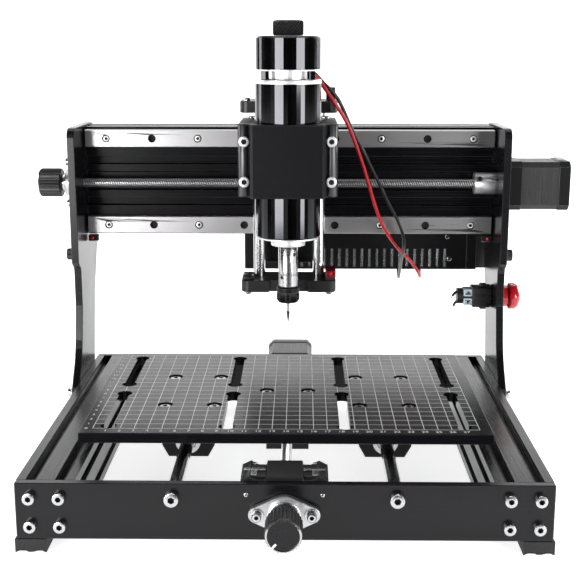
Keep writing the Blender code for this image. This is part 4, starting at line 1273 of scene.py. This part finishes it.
nut = turned("collet_nut_body", [(6.0, 0), (7.8, 0.3), (9.4, 2.6), (9.4, 7.4), (8.9, 7.9), (8.9, 8.6),
                                 (9.4, 9.0), (9.4, 12.2), (8.6, 13.0)], 48)
slots = []
for k in range(6):
    slot_block = cube("slot", (0, 0, 0), (1, 1, 1))
    slot_block.data.transform(Matrix.Rotation(math.tau * (k + 0.5) / 6, 4, "Z")
                              @ Matrix.Translation((9.6 * MM, 0, 3.6 * MM))
                              @ Matrix.Diagonal((3.0 * MM, 3.2 * MM, 8.6 * MM, 1)))
    slots.append(slot_block)
cut(nut, joined("slots", slots))
stand(nut, 35, (*CENTRE, 119.6), "Z", "spindle_rotor", MOTOR_BLACK, "black_anodised", ("collet_nut",))

bit = turned("engraving_bit", [(0.08, 0), (1.5, 10.2), (1.59, 11.0), (1.59, 20.0)], 24)
stand(bit, 40, (*CENTRE, 101.0), "Z", "spindle_rotor", STEEL, "polished_steel", ("cutter_bit",))

low, high = edges("spindle_hand_knob")
tall = high.z - low.z
rows = [1.4 + k * (tall - 2.8) / 6 for k in range(7)]
knob = knurled("spindle_turning_knob", [(11.0, 0), (11.6, 0.6), *[(12.0, row) for row in rows],
                                        (11.2, tall - 0.4), (10.4, tall), (3.2, tall), (3.0, tall - 1.2)], 26,
               (1.3, tall - 1.3), 0.93, diamond=True)
fit(moved(knob, at(low.x + 12.0, 190.0, low.z), "Z"), "spindle_rotor", PLASTIC, "black_plastic",
    ("spindle_hand_knob",))

# %% [markdown]
# ## Uprights
# The uprights carry the gantry. On the outer face of each, a knurled black thumb screw clamps the beam
# between two small screws, larger screws go into the beam's ends, and a bolt fixes the foot of the upright
# to the base beam.

# %% Upright screws
outer = {"left": (edges("side_plate_left")[0].x, "-X"), "right": (edges("side_plate_right")[1].x, "X")}
thumb = knurled("thumb", [(3.8, -0.2), (3.8, 1.4), (4.6, 1.8), (5.1, 2.4), (5.1, 7.2), (4.6, 7.9), (2.4, 7.9),
                          (2.0, 7.3)], 20, (2.3, 7.3), 0.93)
STEEL_LOOK = (SCREW_STEEL, "polished_steel")
UPRIGHT_SCREWS = (
    ("thumb_screw", rounded(thumb, 25), ((262.0, 145.0),), (PLASTIC, "black_plastic")),
    ("upright_small_screws", cap_head(2.7, 2.2), ((262.0, 172.5), (262.0, 135.5)), STEEL_LOOK),
    ("beam_end_screws", button_head(4.4, 2.4), [(y, z) for y in (297.6, 317.6) for z in (176.0, 236.0)],
     STEEL_LOOK),
    ("upright_foot_screws", cap_head(4.0, 3.4, washer=5.2), ((225.0, 30.0), (285.0, 30.0)), STEEL_LOOK))
for side, (x, axis) in outer.items():
    for name, model, spots, look in UPRIGHT_SCREWS:
        set_out(f"{name}_{side}", model, [(x, y, z) for y, z in spots], axis, "base", *look,
                keep=side == "left")
print("uprights at", outer)

# %% [markdown]
# ## End switches on the gantry
# A small switch sits at each lower corner of the gantry. It has a red plunger that shows as a bright dot,
# and a thin lever in front of it.

# %% Gantry end switches
dots, levers = [], []
for side, sign in (("left", -1), ("right", 1)):
    low, high = edges(f"x_switch_{side}")
    x = (low.x + high.x) / 2
    case = block(f"gantry_switch_{side}", (low.x, high.x), (low.y + 2.0, high.y),
                 (high.z - 5.4, high.z), 0.5, 3)
    pushed(case, lambda centre, normal: normal.z < -0.9, 1.0, (0, 0, 0.6))
    fit(case, "base", PLASTIC, "black_plastic", (f"x_switch_{side}",))
    dot = turned("dot", [(1.7, -0.4), (1.7, 0.6), (1.3, 1.2), (0.5, 1.5)], 20)
    dots.append(rounded(moved(dot, at(x + sign * 1.2, low.y + 2.0, high.z - 2.6), "-Y"), 40))
    levers.append(block("lever", sorted((x - sign * 3.8, x + sign * 3.4)), (low.y + 1.2, low.y + 1.9),
                        (high.z - 5.2, high.z - 4.6), 0.12))
fit(joined("gantry_switch_plungers", dots), "base", RED, "red_plastic")
fit(joined("gantry_switch_levers", levers), "base", SCREW_STEEL, "polished_steel")
print("gantry switches", len(dots))

# %% [markdown]
# ## Stop switch
# The red mushroom head is turned: a neck, a wide rim and a low dome. Behind the upright the switch body is
# held by a ribbed nut, and its contact block has pale terminals with screws, from which two short leads
# with bare tips come out. The leads end there in the open, as they do on the real machine. The skirt of the
# head slides into the ring round it when the head is pressed.

# %% Stop switch and leads
STOP = (280.0, 104.5)
neck = edges("stop_button")[0].x
head = turned("stop_head", [(4.9, 0), (5.4, 0.4), (9.6, 1.2), (11.4, 1.9), (12.0, 3.0), (12.0, 6.4),
                            (11.7, 7.6), (11.0, 9.0), (9.6, 10.4), (7.4, 11.6), (4.8, 12.4), (2.2, 12.9),
                            (0.7, 13.05)], 56)
stand(head, 50, (neck, *STOP), "X", "stop_button", RED, "red_plastic", ("stop_button",))
skirt = turned("stop_skirt", [(9.4, -9.5), (9.7, -9.2), (9.7, 0.6), (9.2, 1.0)], 48)
stand(skirt, 40, (neck, *STOP), "X", "stop_button", RED, "red_plastic")

low, high = edges("side_plate_right")
nut = knurled("stop_nut", [(9.4, 0), (10.6, 0.3), (10.6, 3.0), (9.8, 3.6)], 22, (0.2, 3.1), 0.95)
stand(nut, 25, (low.x - 4.0, *STOP), "X", "base", PLASTIC, "black_plastic")
bezel = turned("stop_bezel", [(10.2, -0.2), (10.9, 0.4), (10.9, 2.2), (10.2, 2.7), (7.2, 2.9), (6.4, 2.8)], 48)
stand(bezel, 35, (high.x + 0.2, *STOP), "X", "base", PLASTIC, "black_plastic")

y, z = STOP
wings, terminals = [], []
for side in SIDES:
    wing_z, terminal_z = z + side * 10.2, z + side * 4.1
    wings.append(block("wing", (170.5, 176.0), (y - 4, y + 4), (wing_z - 1.2, wing_z + 1.2), 0.4))
    part = block("terminal", (155.5, 163.2), (y - 7.2, y + 6.0), (terminal_z - 3.1, terminal_z + 3.1), 0.5, 3)
    terminals.append(pushed(part, lambda centre, normal: normal.y < -0.9, 1.1, (0, 1.0, 0)))
wings.append(block("contact_case", (163.0, 176.5), (y - 8.5, y + 8.5), (z - 8.8, z + 8.8), 0.8))
fit(joined("stop_contact_case", wings), "base", PLASTIC, "black_plastic")
fit(joined("stop_terminals", terminals), "base", PALE_PLASTIC, "bare_aluminium")
terminal_screws = [(159.4, y - 6.2, z + side * 4.1) for side in SIDES]
set_out("stop_terminal_screws", button_head(1.7, 1.0), terminal_screws, "-Y")

leads, tips = [], []
for k, points in enumerate((
        [(157.0, 280.0, 108.6), (153.5, 280.0, 109.2), (150.5, 279.8, 108.4), (148.0, 279.6, 106.6),
         (146.4, 279.5, 104.4)],
        [(157.0, 280.0, 100.4), (153.5, 280.0, 100.8), (150.8, 279.8, 99.8), (148.6, 279.6, 97.6),
         (147.6, 279.5, 95.2)])):
    line = catmull([at(*p) for p in points], 5)
    leads.append(tube(f"lead_{k}", line, 1.1))
    direction = (line[-1] - line[-2]).normalized()
    tips.append(tube(f"tip_{k}", [line[-1] - direction * 0.5 * MM, line[-1] + direction * 2.6 * MM], 0.55))
fit(joined("stop_switch_leads", leads), "base", BLACK_WIRE, "black_wire")
fit(joined("stop_switch_lead_tips", tips), "base", SCREW_STEEL, "polished_steel")
print("stop head at", round(neck, 1), "body", edges("stop_switch_body"))

# %% [markdown]
# ## Beam ends and feet
# Each base beam is capped by the plates, and its slots stay open between. Small rubber pads with a
# scalloped lower edge stand under the four corners; their packed blocks keep the height, and these pads
# give them their soft edge.

# %% Foot pads
FOOT_STEP = 5.0
for side in ("front_left", "front_right", "rear_left", "rear_right"):
    low, high = edges(f"foot_{side}")
    if side.endswith("left"):
        high.x -= FOOT_STEP
    else:
        low.x += FOOT_STEP
    pad = block(f"foot_pad_{side}", (low.x, high.x), (low.y, high.y), (low.z, high.z))
    edit(pad)
    ops.mesh.select_all(action="SELECT")
    ops.mesh.subdivide(number_cuts=6)
    mesh = bmesh.from_edit_mesh(pad.data)
    floor_level = at(0, 0, low.z).z
    ops.mesh.select_mode(type="VERT")
    ops.mesh.select_all(action="DESELECT")
    middle = (at(low.x, low.y, 0) + at(high.x, high.y, 0)) / 2
    for vertex in mesh.verts:
        if abs(vertex.co.z - floor_level) < 1e-6:
            share = abs(vertex.co.x - middle.x) / ((high.x - low.x) / 2 * MM)
            vertex.co.z += 2.4 * MM * (0.5 - 0.5 * math.cos(share * math.tau)) * (0 < share < 0.99)
    bmesh.update_edit_mesh(pad.data)
    ops.object.mode_set(mode="OBJECT")
    use(pad, "BEVEL", width=0.9 * MM, segments=3, limit_method="ANGLE", angle_limit=0.8)
    fit(rounded(pad, 40), "base", RUBBER_AND_PAINTED_SHADE, "black_rubber", (f"foot_{side}",))
print("foot pads placed")
